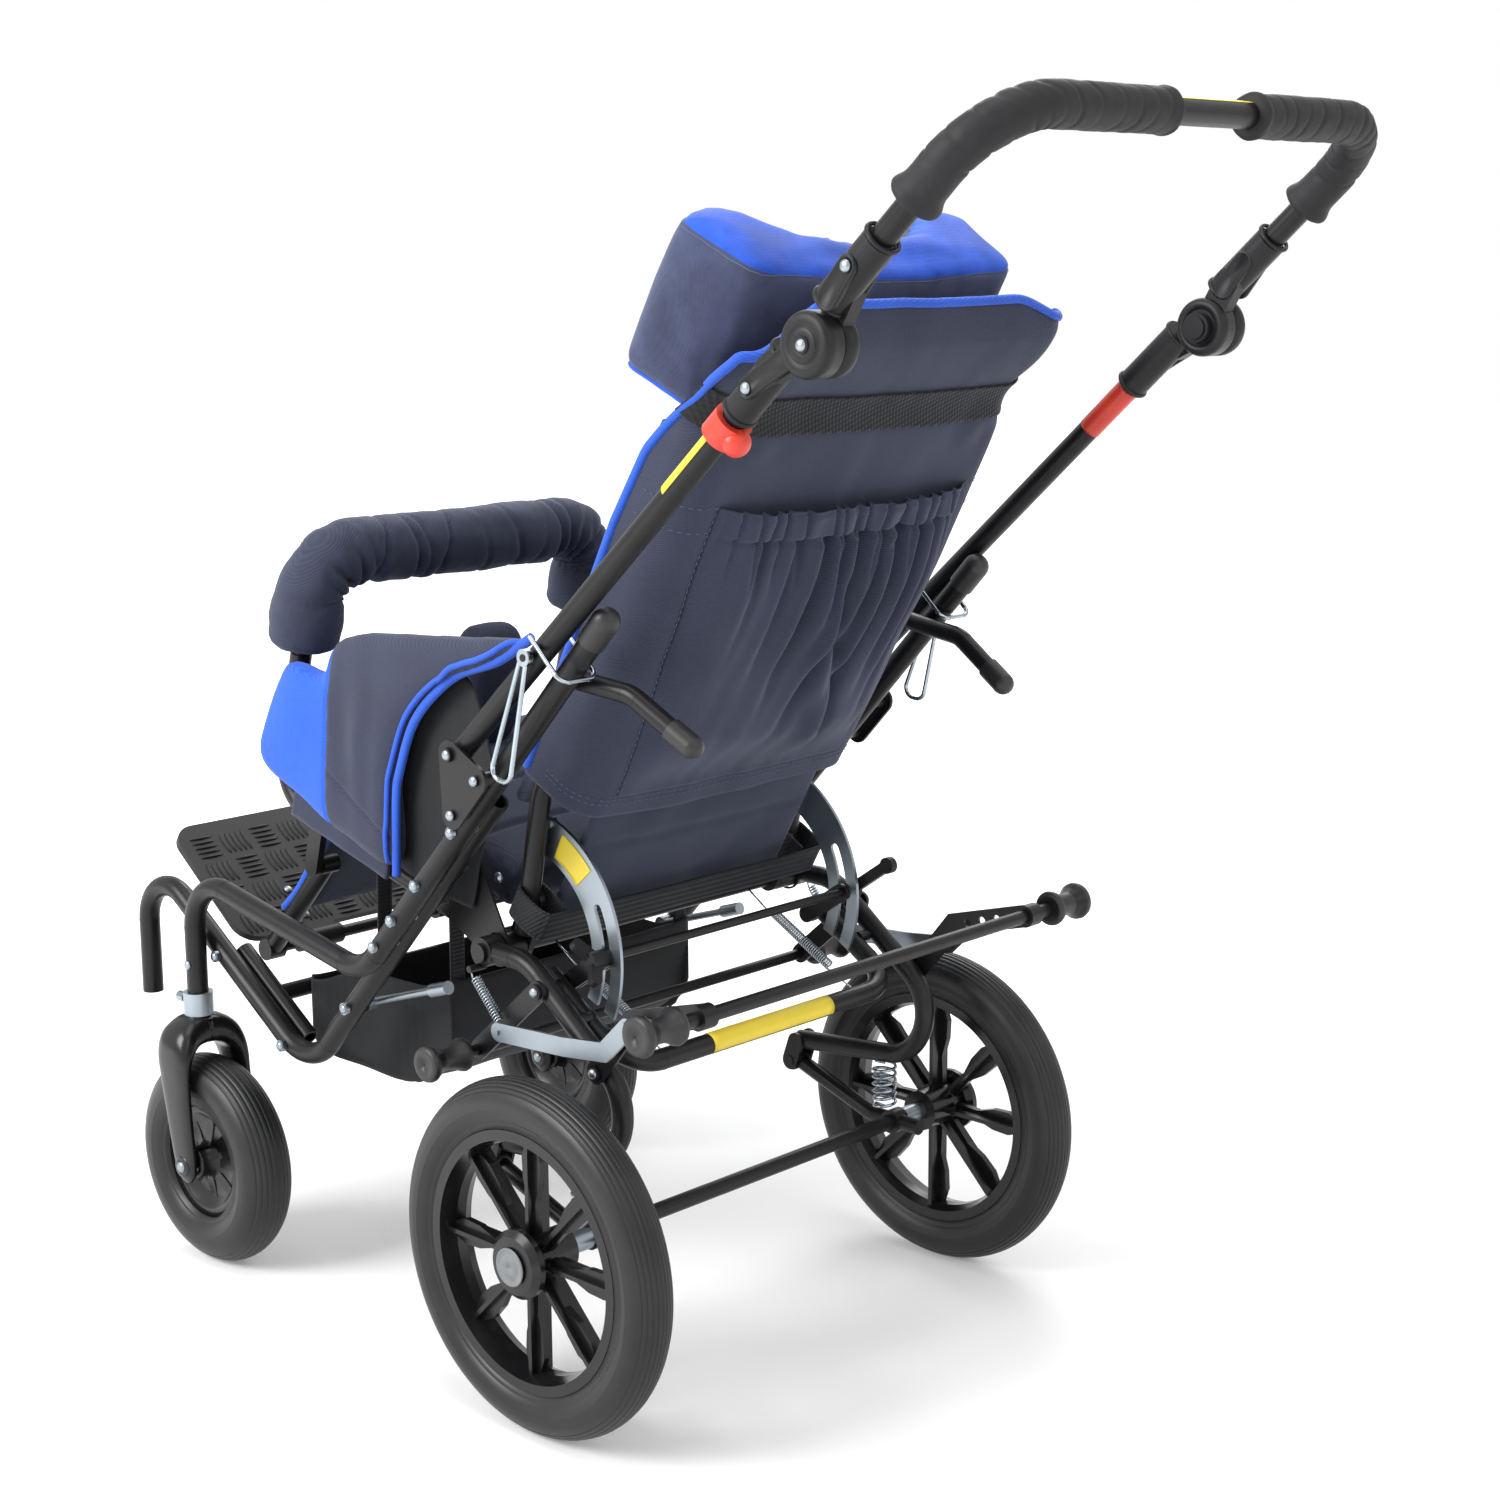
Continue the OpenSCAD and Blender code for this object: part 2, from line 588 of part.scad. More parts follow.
function cover_skin(z, out) = [for (i = [8 : -1 : -8]) let (t = i / 8)
    [(cover_half(z) + out) * t, cover_y(z, t) + out, z]];
function mirrored(p) = concat([for (i = [len(p) - 1 : -1 : 1]) [-p[i].x, p[i].y]], p);
function turned(p) = [for (i = [len(p) - 1 : -1 : 0]) p[i]];
cover_levels = concat([cover_low, pocket_low, 220, 275],
    [for (t = [0, 0.24, 0.38, 0.435, 0.638, 0.88, 1]) lerp(cover_mid, back_height, t)]);
module back_cover() color(navy) back_space() {
    in = back_x + leg_r + 1;
    loft([for (z = cover_levels) concat([[cover_half(z), -60, z]], cover_skin(z, 0),
        [[-cover_half(z), -60, z], [-in, -60, z]], [for (i = [-8 : 8]) [in * i / 8, -26.5, z]],
        [[in, -60, z]])]);
    translate([-138, -8, 12]) cube([276, 24, 139]);
}

// Back cushion in front of the tubes
pad_low = 100;
pad_half = (back_height - 124 - pad_low) / 2;
module back_pad() color(navy) back_space() translate([0, -46, pad_low + pad_half]) rotate([90, 0, 0])
    pillow(back_x + 8, pad_half, 18, 11, 10, 12, [-0.5, 0, 0.5]);

// Winged headrest
headrest_rear = [[0, -48], [118, -48], [158, -52], [170, -66], [171, -92], [162, -108]];
headrest_front = [[0, -74], [62, -79], [92, -92], [106, -108], [134, -114], [150, -112]];
headrest_rings = [[back_height - 123, 0.95, 0.95], [back_height - 113, 1, 1.05], [back_height - 50, 1, 1.08],
    [back_height + 8, 0.98, 1], [back_height + 20, 0.92, 0.9]];
module headrest_pad() color(navy) back_space() {
    outline = concat(mirrored(headrest_front), turned(mirrored(headrest_rear)));
    loft([for (s = headrest_rings) [for (p = outline)
        [p.x * s[1], p.y < -74 ? -74 + (p.y + 74) * s[2] * headrest_wing / 42 : p.y, s[0]]]]);
}

// Elastic strap round the cover and the webbing across the lower back
module back_straps() color(rubber) back_space() {
    loft([for (z = [back_height - 107, back_height - 75])
        concat([[cover_half(z) + 3.5, -50, z]], cover_skin(z, 3.5),
        [[-cover_half(z) - 3.5, -50, z], [-cover_half(z) - 0.5, -50, z]], turned(cover_skin(z, 0.5)),
        [[cover_half(z) + 0.5, -50, z]])]);
    in = back_x + leg_r + 0.5;
    translate([-in, 28, 30]) cube([2 * in, 3, 28]);
    both() translate([in, -6, 30]) cube([2.6, 37, 28]);
}

// Rear frame

module rear_legs() color(black) at_pivot() both() difference() {
    union() {
        bent([[leg_x, 8, 0], [leg_x, 50, 0], [leg_x, 237.8, -143.6], [leg_x, 7, -166]], [50, 46.6], leg_r, 0);
        cross_rod([0, 0], 13, leg_x - leg_r - 0.2, leg_x + leg_r + 0.2);
        for (p = [foot_pivot, pedal_pivot]) {
            cross_rod(p, pin_r, leg_x, lever_x + 4);
            cross_rod(p, 6.5, lever_x + 3 + air, lever_x + 6);
        }
        cross_rod([-2, -12.5], 3, leg_x + 4, leg_x + 21);
        slab(leg_x - 11, leg_x - arm_half - air) link([10, -166], swing_pivot, 9);
        slab(leg_x + arm_half + air, leg_x + 11) link([10, -166], swing_pivot, 9);
        cross_rod(swing_pivot, 5, leg_x - 12, leg_x + 12);
    }
    cross_rod([0, 0], eye_pin_r + running, leg_x - 20, leg_x + 20);
}

// Bowed tube behind the seat with the studs that tie it to the legs
module rear_u_tube() color(black) at_pivot() {
    a = [u_x, 48, -17];
    b = [u_x, 145, -78];
    bent([a, b, flip(b), flip(a)], [36, 36], leg_r, 0);
    both() for (y = [66, 100])
        cross_rod([y, lerp(a.z, b.z, (y - a.y) / (b.y - a.y)) + 7], 5, u_x + 3, leg_x - leg_r - air);
}

// Rod through the recline arcs with a pair of clamp cheeks on each side
module recline_clamps() color(black) at_pivot() {
    cross_rod([clamp_y, clamp_z], 4, -arc_x - 6.5, arc_x + 6.5);
    both() {
        slab(arc_x - 3.5, arc_x - 0.4) link([clamp_y, clamp_z], [58, -23.3], 8);
        slab(arc_x + 3.4, arc_x + 6.5) link([clamp_y, clamp_z], [58, -23.3], 8);
        cross_rod([58, -23.3], 7, arc_x - 3.5, u_x - leg_r - air);
    }
}

module assist_springs() color(zinc) at_pivot() both() {
    a = [120, 0, 0];
    b = [120, 145, -78];
    along(a, b) translate([0, 0, 41.8]) coil(3.9, 0.9, 80, 9, 34);
}

module return_springs() color(zinc) at_pivot() both() {
    a = [leg_x + 19, -2, -12.5];
    b = [leg_x + 19, 40, -57];
    along(a, b) translate([0, 0, 8.9]) coil(2.9, 0.7, norm(b - a) - 17, 7, 6.3);
}

module suspension_springs() color(zinc) at_pivot() both()
    translate([leg_x, 114, -207.9]) coil(10.5, 1.5, 42.1, 6, 0.6);

module foot_bar() color(black) at_pivot() {
    cross_rod(foot_rod, 6, -wheel_x - 16, wheel_x + 16);
    both() {
        difference() {
            slab(lever_x, lever_x + 3) strap([foot_pivot, [186, -21], foot_rod], 10);
            cross_rod(foot_pivot, pin_r + running, leg_x, leg_x + 20);
            for (t = [0.2, 0.4, 0.6])
                cross_rod(lerp([186, -21], foot_rod, t), 4, leg_x, leg_x + 20);
        }
        cross_rod(foot_rod, 10, lever_x - 3, lever_x + 12);
        translate([wheel_x - 25, foot_rod.x, foot_rod.y]) rotate([0, 90, 0]) spool(16);
    }
}

// Spool shaped knob for the foot
module spool(r) rotate_extrude() polygon([[0, 0], [r * 0.7, 0], [r * 0.62, 8], [r * 0.6, 26], [r * 0.8, 33],
    [r, 38], [r, 42], [r * 0.75, 44], [0, 44]]);

module foot_bar_strips() color(zinc) at_pivot() both() {
    slab(strip_x, strip_x + 3) strap([[40, -57], [120, -52], [169, -46], [196, -20]], 8);
    cross_rod([180, -34], 6, lever_x + 3 + air, strip_x + 1);
    cross_rod([40, -57], 2.5, leg_x + 15, strip_x + 5);
    cross_rod([196, -20], 5, strip_x + 2, strip_x + 6);
}

module lower_pedal() color(black) at_pivot() {
    cross_rod(pedal_rod, 5, -wheel_x, wheel_x);
    both() {
        difference() {
            slab(lever_x, lever_x + 3) link(pedal_pivot, pedal_rod, 9);
            cross_rod(pedal_pivot, pin_r + running, leg_x, leg_x + 20);
        }
        translate([wheel_x - 40, pedal_rod.x, pedal_rod.y]) rotate([0, 90, 0]) spool(15);
    }
}

module recline_knob() color(rubber) at_pivot() translate([arc_x + 7, clamp_y, clamp_z]) rotate([0, 90, 0]) {
    cylinder(r = 8, h = 16);
    translate([0, 0, 11]) rotate([90, 0, 40]) translate([0, 0, -3.5]) linear_extrude(7)
        strap([[-17, 8], [-4, 0], [4, 0], [17, 8]], 5);
}

module recline_lever() color(rubber) at_pivot() right() {
    cross_rod([clamp_y, clamp_z], 9, arc_x + 7, arc_x + 17);
    slab(arc_x + 9, arc_x + 16) {
        link([clamp_y, clamp_z], [clamp_y + 42, clamp_z + 29], 5);
        translate([clamp_y + 44, clamp_z + 30]) circle(7.5);
    }
}

// Rear axle on its swing arms

module swing_arms() color(black) at_pivot() both() difference() {
    a = [leg_x, swing_pivot.x, swing_pivot.y];
    b = [leg_x, 98, -pivot_rise];
    union() {
        bent([a, b, [leg_x, axle_back + 30, -pivot_rise]], [30], arm_r, 0);
        cross_rod(swing_pivot, 10, leg_x - arm_half, leg_x + arm_half);
        cross_rod([axle_back, -pivot_rise], 11, leg_x - arm_half, leg_x + arm_half);
    }
    cross_rod(swing_pivot, 5 + running, leg_x - 20, leg_x + 20);
    cross_rod([axle_back, -pivot_rise], axle_r + running, leg_x - 20, leg_x + 20);
}

module axle() color(black) at_pivot() {
    cross_rod([axle_back, -pivot_rise], axle_r, -wheel_x - 12, wheel_x + 12);
    cross_rod([axle_back, -pivot_rise], 7, air + arm_half - leg_x, leg_x - arm_half - air);
}

module axle_spacers() color(zinc) at_pivot() both() difference() {
    cross_rod([axle_back, -pivot_rise], 9, leg_x + arm_half + air, wheel_x - 30 - air);
    cross_rod([axle_back, -pivot_rise], axle_r + running, leg_x, wheel_x);
}

module at_rear_wheel() at_pivot() translate([wheel_x, axle_back, -pivot_rise]) rotate([0, 90, 0]) children();

// Wheel with eight leaf-shaped spokes and a round hub cap
rim_r = rear_r - 40;
leaf = [[22, -6], [48, -4.5], [66, -10], [84, -11], [104, -4], [104, 4], [84, 11], [66, 10], [48, 4.5],
    [22, 6]];
module rear_rim() color(black) at_rear_wheel() {
    rotate_extrude($fn = 64) polygon([[rim_r - 9, -17], [rim_r, -17], [rim_r, 17], [rim_r - 9, 17],
        [rim_r - 13, 2], [rim_r - 13, -8]]);
    difference() {
        union() {
            translate([0, 0, -30]) cylinder(r = 19, h = 48);
            translate([0, 0, 10]) rotate_extrude()
                polygon([[0, 0], [24, 0], [29, 5], [29, 10], [24, 15], [0, 17]]);
        }
        translate([0, 0, -31]) cylinder(r = axle_r + running, h = 44);
    }
    for (i = [0 : 7]) rotate(i * 45) {
        translate([0, 0, -3]) linear_extrude(6) polygon(leaf * rim_r / 110);
        translate([14, -2, -14]) cube([rim_r - 25, 4, 22.5]);
    }
}
module rear_rim_left() rear_rim();
module rear_rim_right() right() rear_rim();

module rear_tyre() color(rubber) at_rear_wheel() rotate_extrude($fn = 96) difference() {
    half = rear_tyre_w / 2;
    union() {
        translate([rear_r - half, 0]) circle(half);
        translate([rim_r, -17]) square([rear_r - half - rim_r, 34]);
    }
    translate([rim_r - 20, -30]) square([20 + air, 60]);
}
module rear_tyre_left() rear_tyre();
module rear_tyre_right() right() rear_tyre();

// Casters

module caster_fork() color(black) at_pivot() {
    translate([side_x, stem_end.y, flange_z]) cylinder(r = eye_pin_r, h = 50);
    difference() {
        union() {
            hull() {
                translate([side_x, stem_end.y, flange_z - 4]) cylinder(r = 17, h = 4);
                translate([side_x - fork_in - 8, stem_end.y - 15, flange_z - 30])
                    cube([2 * fork_in + 16, 30, 14]);
            }
            for (s = [-1, 1]) {
                x = side_x + s * (fork_in + 4);
                slab(x - 4, x + 4) {
                    polygon([[stem_end.y - 15, flange_z - 20], [caster_y - 11, caster_z],
                        [caster_y + 11, caster_z], [stem_end.y + 15, flange_z - 20]]);
                    translate([caster_y, caster_z]) circle(12);
                }
                cross_rod([caster_y, caster_z], 7, side_x - fork_in - 11, side_x - fork_in);
                cross_rod([caster_y, caster_z], 7, side_x + fork_in, side_x + fork_in + 11);
            }
        }
        cross_rod([caster_y, caster_z], caster_r + 4, side_x - fork_in, side_x + fork_in);
    }
    cross_rod([caster_y, caster_z], 5, side_x - fork_in - 2, side_x + fork_in + 2);
}
module caster_fork_left() caster_fork();
module caster_fork_right() right() caster_fork();

caster_rim = caster_r - 46;
module caster_wheel() color(rubber) at_pivot() translate([side_x, caster_y, caster_z]) rotate([0, 90, 0]) {
    half = caster_w / 2;
    rotate_extrude($fn = 64) {
        translate([caster_r - half, 0]) circle(half);
        translate([caster_rim + air, -16]) square([caster_r - half - caster_rim, 32]);
    }
    difference() {
        union() {
            rotate_extrude($fn = 64) polygon([[10, -6], [caster_rim - 14, -4], [caster_rim - 6, -16],
                [caster_rim, -16], [caster_rim, 16], [caster_rim - 6, 16], [caster_rim - 14, 4], [10, 6]]);
            translate([0, 0, 1 - fork_in]) cylinder(r = 14, h = 2 * fork_in - 2);
        }
        translate([0, 0, -fork_in]) cylinder(r = 5 + running, h = 2 * fork_in);
    }
}
module caster_wheel_left() caster_wheel();
module caster_wheel_right() right() caster_wheel();

// Pull pin of the swivel lock
module swivel_pin() color(zinc) at_pivot()
    translate([side_x, stem_end.y - 7, stem_end.z - 11]) rotate([90, 0, 0]) {
        cylinder(r = 3, h = 16);
        translate([0, 0, 14]) cylinder(r = 5, h = 10);
    }
module swivel_pin_left() swivel_pin();
module swivel_pin_right() right() swivel_pin();

// Leg rest

module leg_hangers() color(black) at_pivot() difference() {
    union() {
        both() {
            straight([hanger_x, leg_pivot.x, leg_pivot.y], [hanger_x, foot_hinge.x, foot_hinge.y], leg_r, 0);
            cross_rod(leg_pivot, hub_r, hanger_x - leg_r - 0.2, hanger_x + leg_r + 0.2);
            cross_rod(foot_hinge, 10.5, hanger_x - leg_r - 0.2, hanger_x + leg_r + 0.2);
        }
        cross_rod(foot_hinge, eye_pin_r, -hanger_x, hanger_x);
    }
    both() cross_rod(leg_pivot, 5 + running, hanger_x - 20, hanger_x + 20);
}

module calf_pad() color(navy) leg_space() translate([0, -hub_r - air, -40]) rotate([90, 0, 0])
    pillow(hanger_x - 5, 60, 16, 9, 10, 8, [-0.5, 0, 0.5]);

// Plate for the feet with two hinge barrels
module footplate() color(black) foot_space() difference() {
    union() {
        translate([0, 0, -4]) linear_extrude(7) translate([-foot_width / 2 + 24, -foot_depth + 24])
            plate_outline(foot_width - 48, foot_depth - 14 - 48, 24);
        both() translate([60, 0, 0]) {
            rotate([0, 90, 0]) cylinder(r = 10, h = 50);
            translate([0, -24, -4]) cube([50, 18, 7]);
        }
    }
    cross_rod([0, 0], eye_pin_r + running, -200, 200);
}
module plate_outline(w, d, r) {
    for (x = [0, w]) for (y = [0, d]) translate([x, y]) circle(r);
    translate([-r, 0]) square([w + 2 * r, d]);
    translate([0, -r]) square([w, d + 2 * r]);
}

// Safety bumper

module bumper_tube() color(black) seat_space() {
    a = [rail_x, post_y, 50];
    b = [rail_x, post_y, bumper_height];
    bent([a, b, flip(b), flip(a)], [45, 45], 8);
}

module bumper_pad() color(navy) seat_space() {
    a = [rail_x, post_y, 146];
    b = [rail_x, post_y, bumper_height];
    bent([a, b, flip(b), flip(a)], [45, 45], bumper_d / 2, bumper_d / 2 - 8 - air);
}

side_tubes();
inner_tubes();
tube_caps();
tip_levers();
gusset_plates();
lower_cross_frame();
seat_frame();
side_plates();
frame_fasteners();
swivel_collars();
seat_cushion();
side_wings();
basket_net();
push_tubes();
elbow_sockets();
clip_light();
handle_bar();
handle_grips();
elbow_knuckles();
elbow_button_left();
elbow_button_right();
lock_ring_left();
lock_ring_right();
stirrup_left();
stirrup_right();
backrest_tube();
recline_arcs();
back_cover();
back_pad();
headrest_pad();
back_straps();
rear_legs();
rear_u_tube();
recline_clamps();
assist_springs();
return_springs();
suspension_springs();
foot_bar();
foot_bar_strips();
lower_pedal();
recline_knob();
recline_lever();
swing_arms();
axle();
axle_spacers();
rear_rim_left();
rear_rim_right();
rear_tyre_left();
rear_tyre_right();
caster_fork_left();
caster_fork_right();
caster_wheel_left();
caster_wheel_right();
swivel_pin_left();
swivel_pin_right();
leg_hangers();
calf_pad();
footplate();
bumper_tube();
bumper_pad();
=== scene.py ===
import math

import bmesh
import bpy
import numpy as np
from mathutils import Matrix, Vector, noise
from mathutils.bvhtree import BVHTree

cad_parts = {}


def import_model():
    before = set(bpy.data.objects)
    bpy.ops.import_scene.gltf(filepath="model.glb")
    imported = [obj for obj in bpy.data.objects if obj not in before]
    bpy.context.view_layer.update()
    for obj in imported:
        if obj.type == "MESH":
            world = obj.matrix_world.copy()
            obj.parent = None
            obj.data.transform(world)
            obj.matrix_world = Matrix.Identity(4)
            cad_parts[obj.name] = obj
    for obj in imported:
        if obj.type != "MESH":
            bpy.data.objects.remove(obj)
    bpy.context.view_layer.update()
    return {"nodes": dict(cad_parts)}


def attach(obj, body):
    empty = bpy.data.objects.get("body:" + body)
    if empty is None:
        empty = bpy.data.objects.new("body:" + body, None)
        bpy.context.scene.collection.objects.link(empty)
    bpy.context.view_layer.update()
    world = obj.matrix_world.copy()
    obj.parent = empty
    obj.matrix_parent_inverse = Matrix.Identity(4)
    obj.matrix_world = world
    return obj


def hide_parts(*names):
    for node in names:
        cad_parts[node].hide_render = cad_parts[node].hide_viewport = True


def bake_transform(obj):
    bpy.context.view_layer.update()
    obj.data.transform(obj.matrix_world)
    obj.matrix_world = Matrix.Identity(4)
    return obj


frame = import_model()

bl_info = {
    "name": "Padded buggy dresser",
    "version": (1, 0, 0),
    "blender": (4, 5, 0),
    "location": "3D View > Sidebar > Buggy",
    "description": "Dresses the packed frame of a special needs buggy with cloth, pads, tyres, trim and light",
    "category": "Object",
}

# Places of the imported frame, in millimetres from the common pivot behind the seat
PIVOT = (-32.65, 369.0)
FOLD = (26.0, 181.0)
LEG_HINGE, FOOT_HINGE, BOWED_TUBE = (-291.0, 18.0), (-384.0, -82.0), (145.0, -78.0)
BACK_LEAN, SEAT_TILT, PUSH_SLOPE, FOOT_TILT = (math.radians(a) for a in (29.5, 15.4, 42.1, 37.0))
RAIL_X, BACK_X, PUSH_X, SIDE_X, LEG_X, WHEEL_X, INNER_X = 168.0, 160.0, 236.0, 224.0, 190.0, 256.0, 200.5
PUSH_LENGTH, BAR_Y, ELBOW_Z = 516.0, 729.6, -14.7
AXLE, CASTER, SWIVEL_Y = (127.0, -219.0), (-370.0, -268.0), -388.0
BACK_TOP = 620.0
SIDES = ((1, "left"), (-1, "right"))

# The solved camera: azimuth, elevation and roll in degrees, place in metres and focal length in millimetres
CAMERA_ANGLES, CAMERA_PLACE, CAMERA_LENS = (133.84, 11.286, -0.305), (1.50908, 1.54094, 0.94792), 60.105
# Place and size in metres and power in watts of each lamp, which all face one point
LAMPS = {"key": ((3.3, -1.2, 2.5), 2.0, 165), "fill": ((0.2, 3.4, 2.6), 2.4, 26),
         "rim": ((-2.4, -1.6, 2.8), 1.8, 45), "top": ((0.2, 0.2, 3.8), 2.4, 40)}
LAMPS_FACE = (0, 0, 0.45)


def world(x, y, z):
    """A point given from the common pivot, in the part's own frame in metres."""
    return Vector((x, y + PIVOT[0], z + PIVOT[1])) / 1000


def tilted(x, y, z, angle, y0=0.0, z0=0.0):
    """A point of a frame that is turned about a cross axis through a place given from the common pivot."""
    c, s = math.cos(angle), math.sin(angle)
    return world(x, y0 + y * c + z * s, z0 - y * s + z * c)


def on_back(x, y, z):
    return tilted(x, y, z, BACK_LEAN)


def on_seat(x, y, z):
    return tilted(x, y, z, SEAT_TILT)


def on_push(x, y, z):
    return tilted(x, y, z, -PUSH_SLOPE, *FOLD)


def on_foot(x, y, z):
    return tilted(x, y, z, FOOT_TILT, *FOOT_HINGE)


def about(x0, spot, sign):
    """A function that places points round a cross axle on one side of the part."""
    return lambda x, y, z: world(sign * (x0 + x), spot[0] + y, spot[1] + z)


def heading(place, *axis):
    """The direction of an axis of a tilted frame."""
    return (place(*axis) - place(0, 0, 0)).normalized()


def smooth(a, b, t):
    """Nought before a, one after b and a soft step between, or the other way round."""
    t = min(1.0, max(0.0, (t - a) / (b - a)))
    return t * t * (3 - 2 * t)


def bump(t, centre, width):
    """A bell of height one."""
    return math.exp(-(((t - centre) / width) ** 2))


def linear(code):
    """An sRGB hex colour as linear red, green and blue."""
    parts = [int(code[i:i + 2], 16) / 255 for i in (0, 2, 4)]
    return tuple(c / 12.92 if c <= 0.04045 else ((c + 0.055) / 1.055) ** 2.4 for c in parts)


# Settings

def colour(label, code, text):
    return bpy.props.FloatVectorProperty(name=label, description=text, subtype="COLOR", size=3, min=0, max=1,
                                         default=linear(code))


def length(label, mm, text):
    return bpy.props.FloatProperty(name=label, description=text, default=mm / 1000, unit="LENGTH", min=0.0)


class BuggyColours(bpy.types.PropertyGroup):
    tube: colour("Tubes", "141416", "Powder coat of the frame tubes")
    plastic: colour("Plastic", "18181a", "Moulded joints, rims, forks and knobs")
    rubber: colour("Rubber", "1c1c1d", "Tyres and end caps")
    grip: colour("Grips", "232325", "Wrapped foam of the handle")
    zinc: colour("Zinc", "98a1a8", "Plated plates, bolts, springs and wires")
    navy: colour("Navy cloth", "383d50", "Twill of the covers")
    blue: colour("Blue cloth", "2f63dd", "Front panels of the seat's sides and binding")
    velour: colour("Velour", "434a66", "Short pile on the headrest")
    knit: colour("Blue knit", "2b59cc", "Top of the headrest")
    thread: colour("Thread", "565d78", "Stitches and seams of the covers")
    webbing: colour("Webbing", "17181a", "Elastic and woven straps")
    yellow: colour("Yellow film", "f2d83c", "Plain marker strips")
    red: colour("Red", "e2402f", "Clip light and marker band")
    disc: colour("Hub discs", "75787b", "Plain discs on the rear hubs")


class BuggySizes(bpy.types.PropertyGroup):
    thread: length("Thread", 1.6, "Spacing of the twill lines")
    tyre_groove: length("Tyre groove", 1.1, "Depth of the grooves round the rear tyres")
    binding: length("Binding", 4.2, "Radius of the blue edge binding")
    stitch: length("Stitch", 4.0, "Length of a stitch")
    bolt: length("Bolt head", 4.6, "Radius of a bolt head")
    pad_cap: length("Pad swell", 6.0, "Farthest that a pad may swell in the cloth simulation")


def colours():
    return bpy.context.scene.buggy_colours


def sizes():
    return bpy.context.scene.buggy_sizes


# Node and material helpers

def node(tree, kind, inputs=None, **settings):
    """Adds a node with its settings, and sets or links its inputs."""
    n = tree.nodes.new(kind)
    for key, value in settings.items():
        setattr(n, key, value)
    for key, value in (inputs or {}).items():
        if isinstance(value, bpy.types.NodeSocket):
            tree.links.new(value, n.inputs[key])
        else:
            n.inputs[key].default_value = value
    return n


def rgba(c):
    return (c[0], c[1], c[2], 1.0)


def shade(c, k):
    return (c[0] * k, c[1] * k, c[2] * k, 1.0)


def material(name):
    """A new material with its Principled shader."""
    m = bpy.data.materials.new(name)
    m.use_nodes = True
    tree = m.node_tree
    return m, tree, tree.nodes["Principled BSDF"]


def set_all(shader, **values):
    for key, value in values.items():
        shader.inputs[key.replace("_", " ")].default_value = value


def maths(tree, operation, *values):
    return node(tree, "ShaderNodeMath", dict(enumerate(values)), operation=operation).outputs[0]


def dot(tree, at, direction):
    return node(tree, "ShaderNodeVectorMath", {0: at, 1: direction}, operation="DOT_PRODUCT").outputs["Value"]


def ranged(tree, value, low, high, start=0.0, end=1.0):
    """A value taken from the range of start to end to the range of low to high."""
    return node(tree, "ShaderNodeMapRange", {"Value": value, "From Min": start, "From Max": end, "To Min": low,
                                             "To Max": high}).outputs["Result"]


def clouds(tree, at, scale, detail, rough=0.5):
    return node(tree, "ShaderNodeTexNoise", {"Vector": at, "Scale": scale, "Detail": detail,
                                             "Roughness": rough}).outputs["Fac"]


def mixed(tree, factor, a, b, blend="MIX"):
    return node(tree, "ShaderNodeMix", {0: factor, 6: a, 7: b}, data_type="RGBA", blend_type=blend).outputs[2]


def raised(tree, shader, height, distance, strength):
    b = node(tree, "ShaderNodeBump", {"Height": height, "Distance": distance, "Strength": strength})
    tree.links.new(b.outputs["Normal"], shader.inputs["Normal"])


def surface(name, base, low, high, scale, rough, bump_mm=0.0, bump_scale=None, **values):
    """A finish with a mottled colour, a little roughness change and a fine bump, from noise on Object coordinates."""
    m, t, s = material(name)
    at = node(t, "ShaderNodeTexCoord").outputs["Object"]
    mottle = clouds(t, at, scale, 4.0)
    ramp = node(t, "ShaderNodeValToRGB", {"Fac": mottle})
    ends = ramp.color_ramp.elements
    ends[0].position, ends[1].position = 0.3, 0.7
    ends[0].color, ends[1].color = shade(base, low), shade(base, high)
    t.links.new(ramp.outputs["Color"], s.inputs["Base Color"])
    t.links.new(ranged(t, mottle, *rough), s.inputs["Roughness"])
    if bump_mm:
        raised(t, s, clouds(t, at, bump_scale, 2.0), bump_mm / 1000, 0.6)
    set_all(s, **values)
    return m


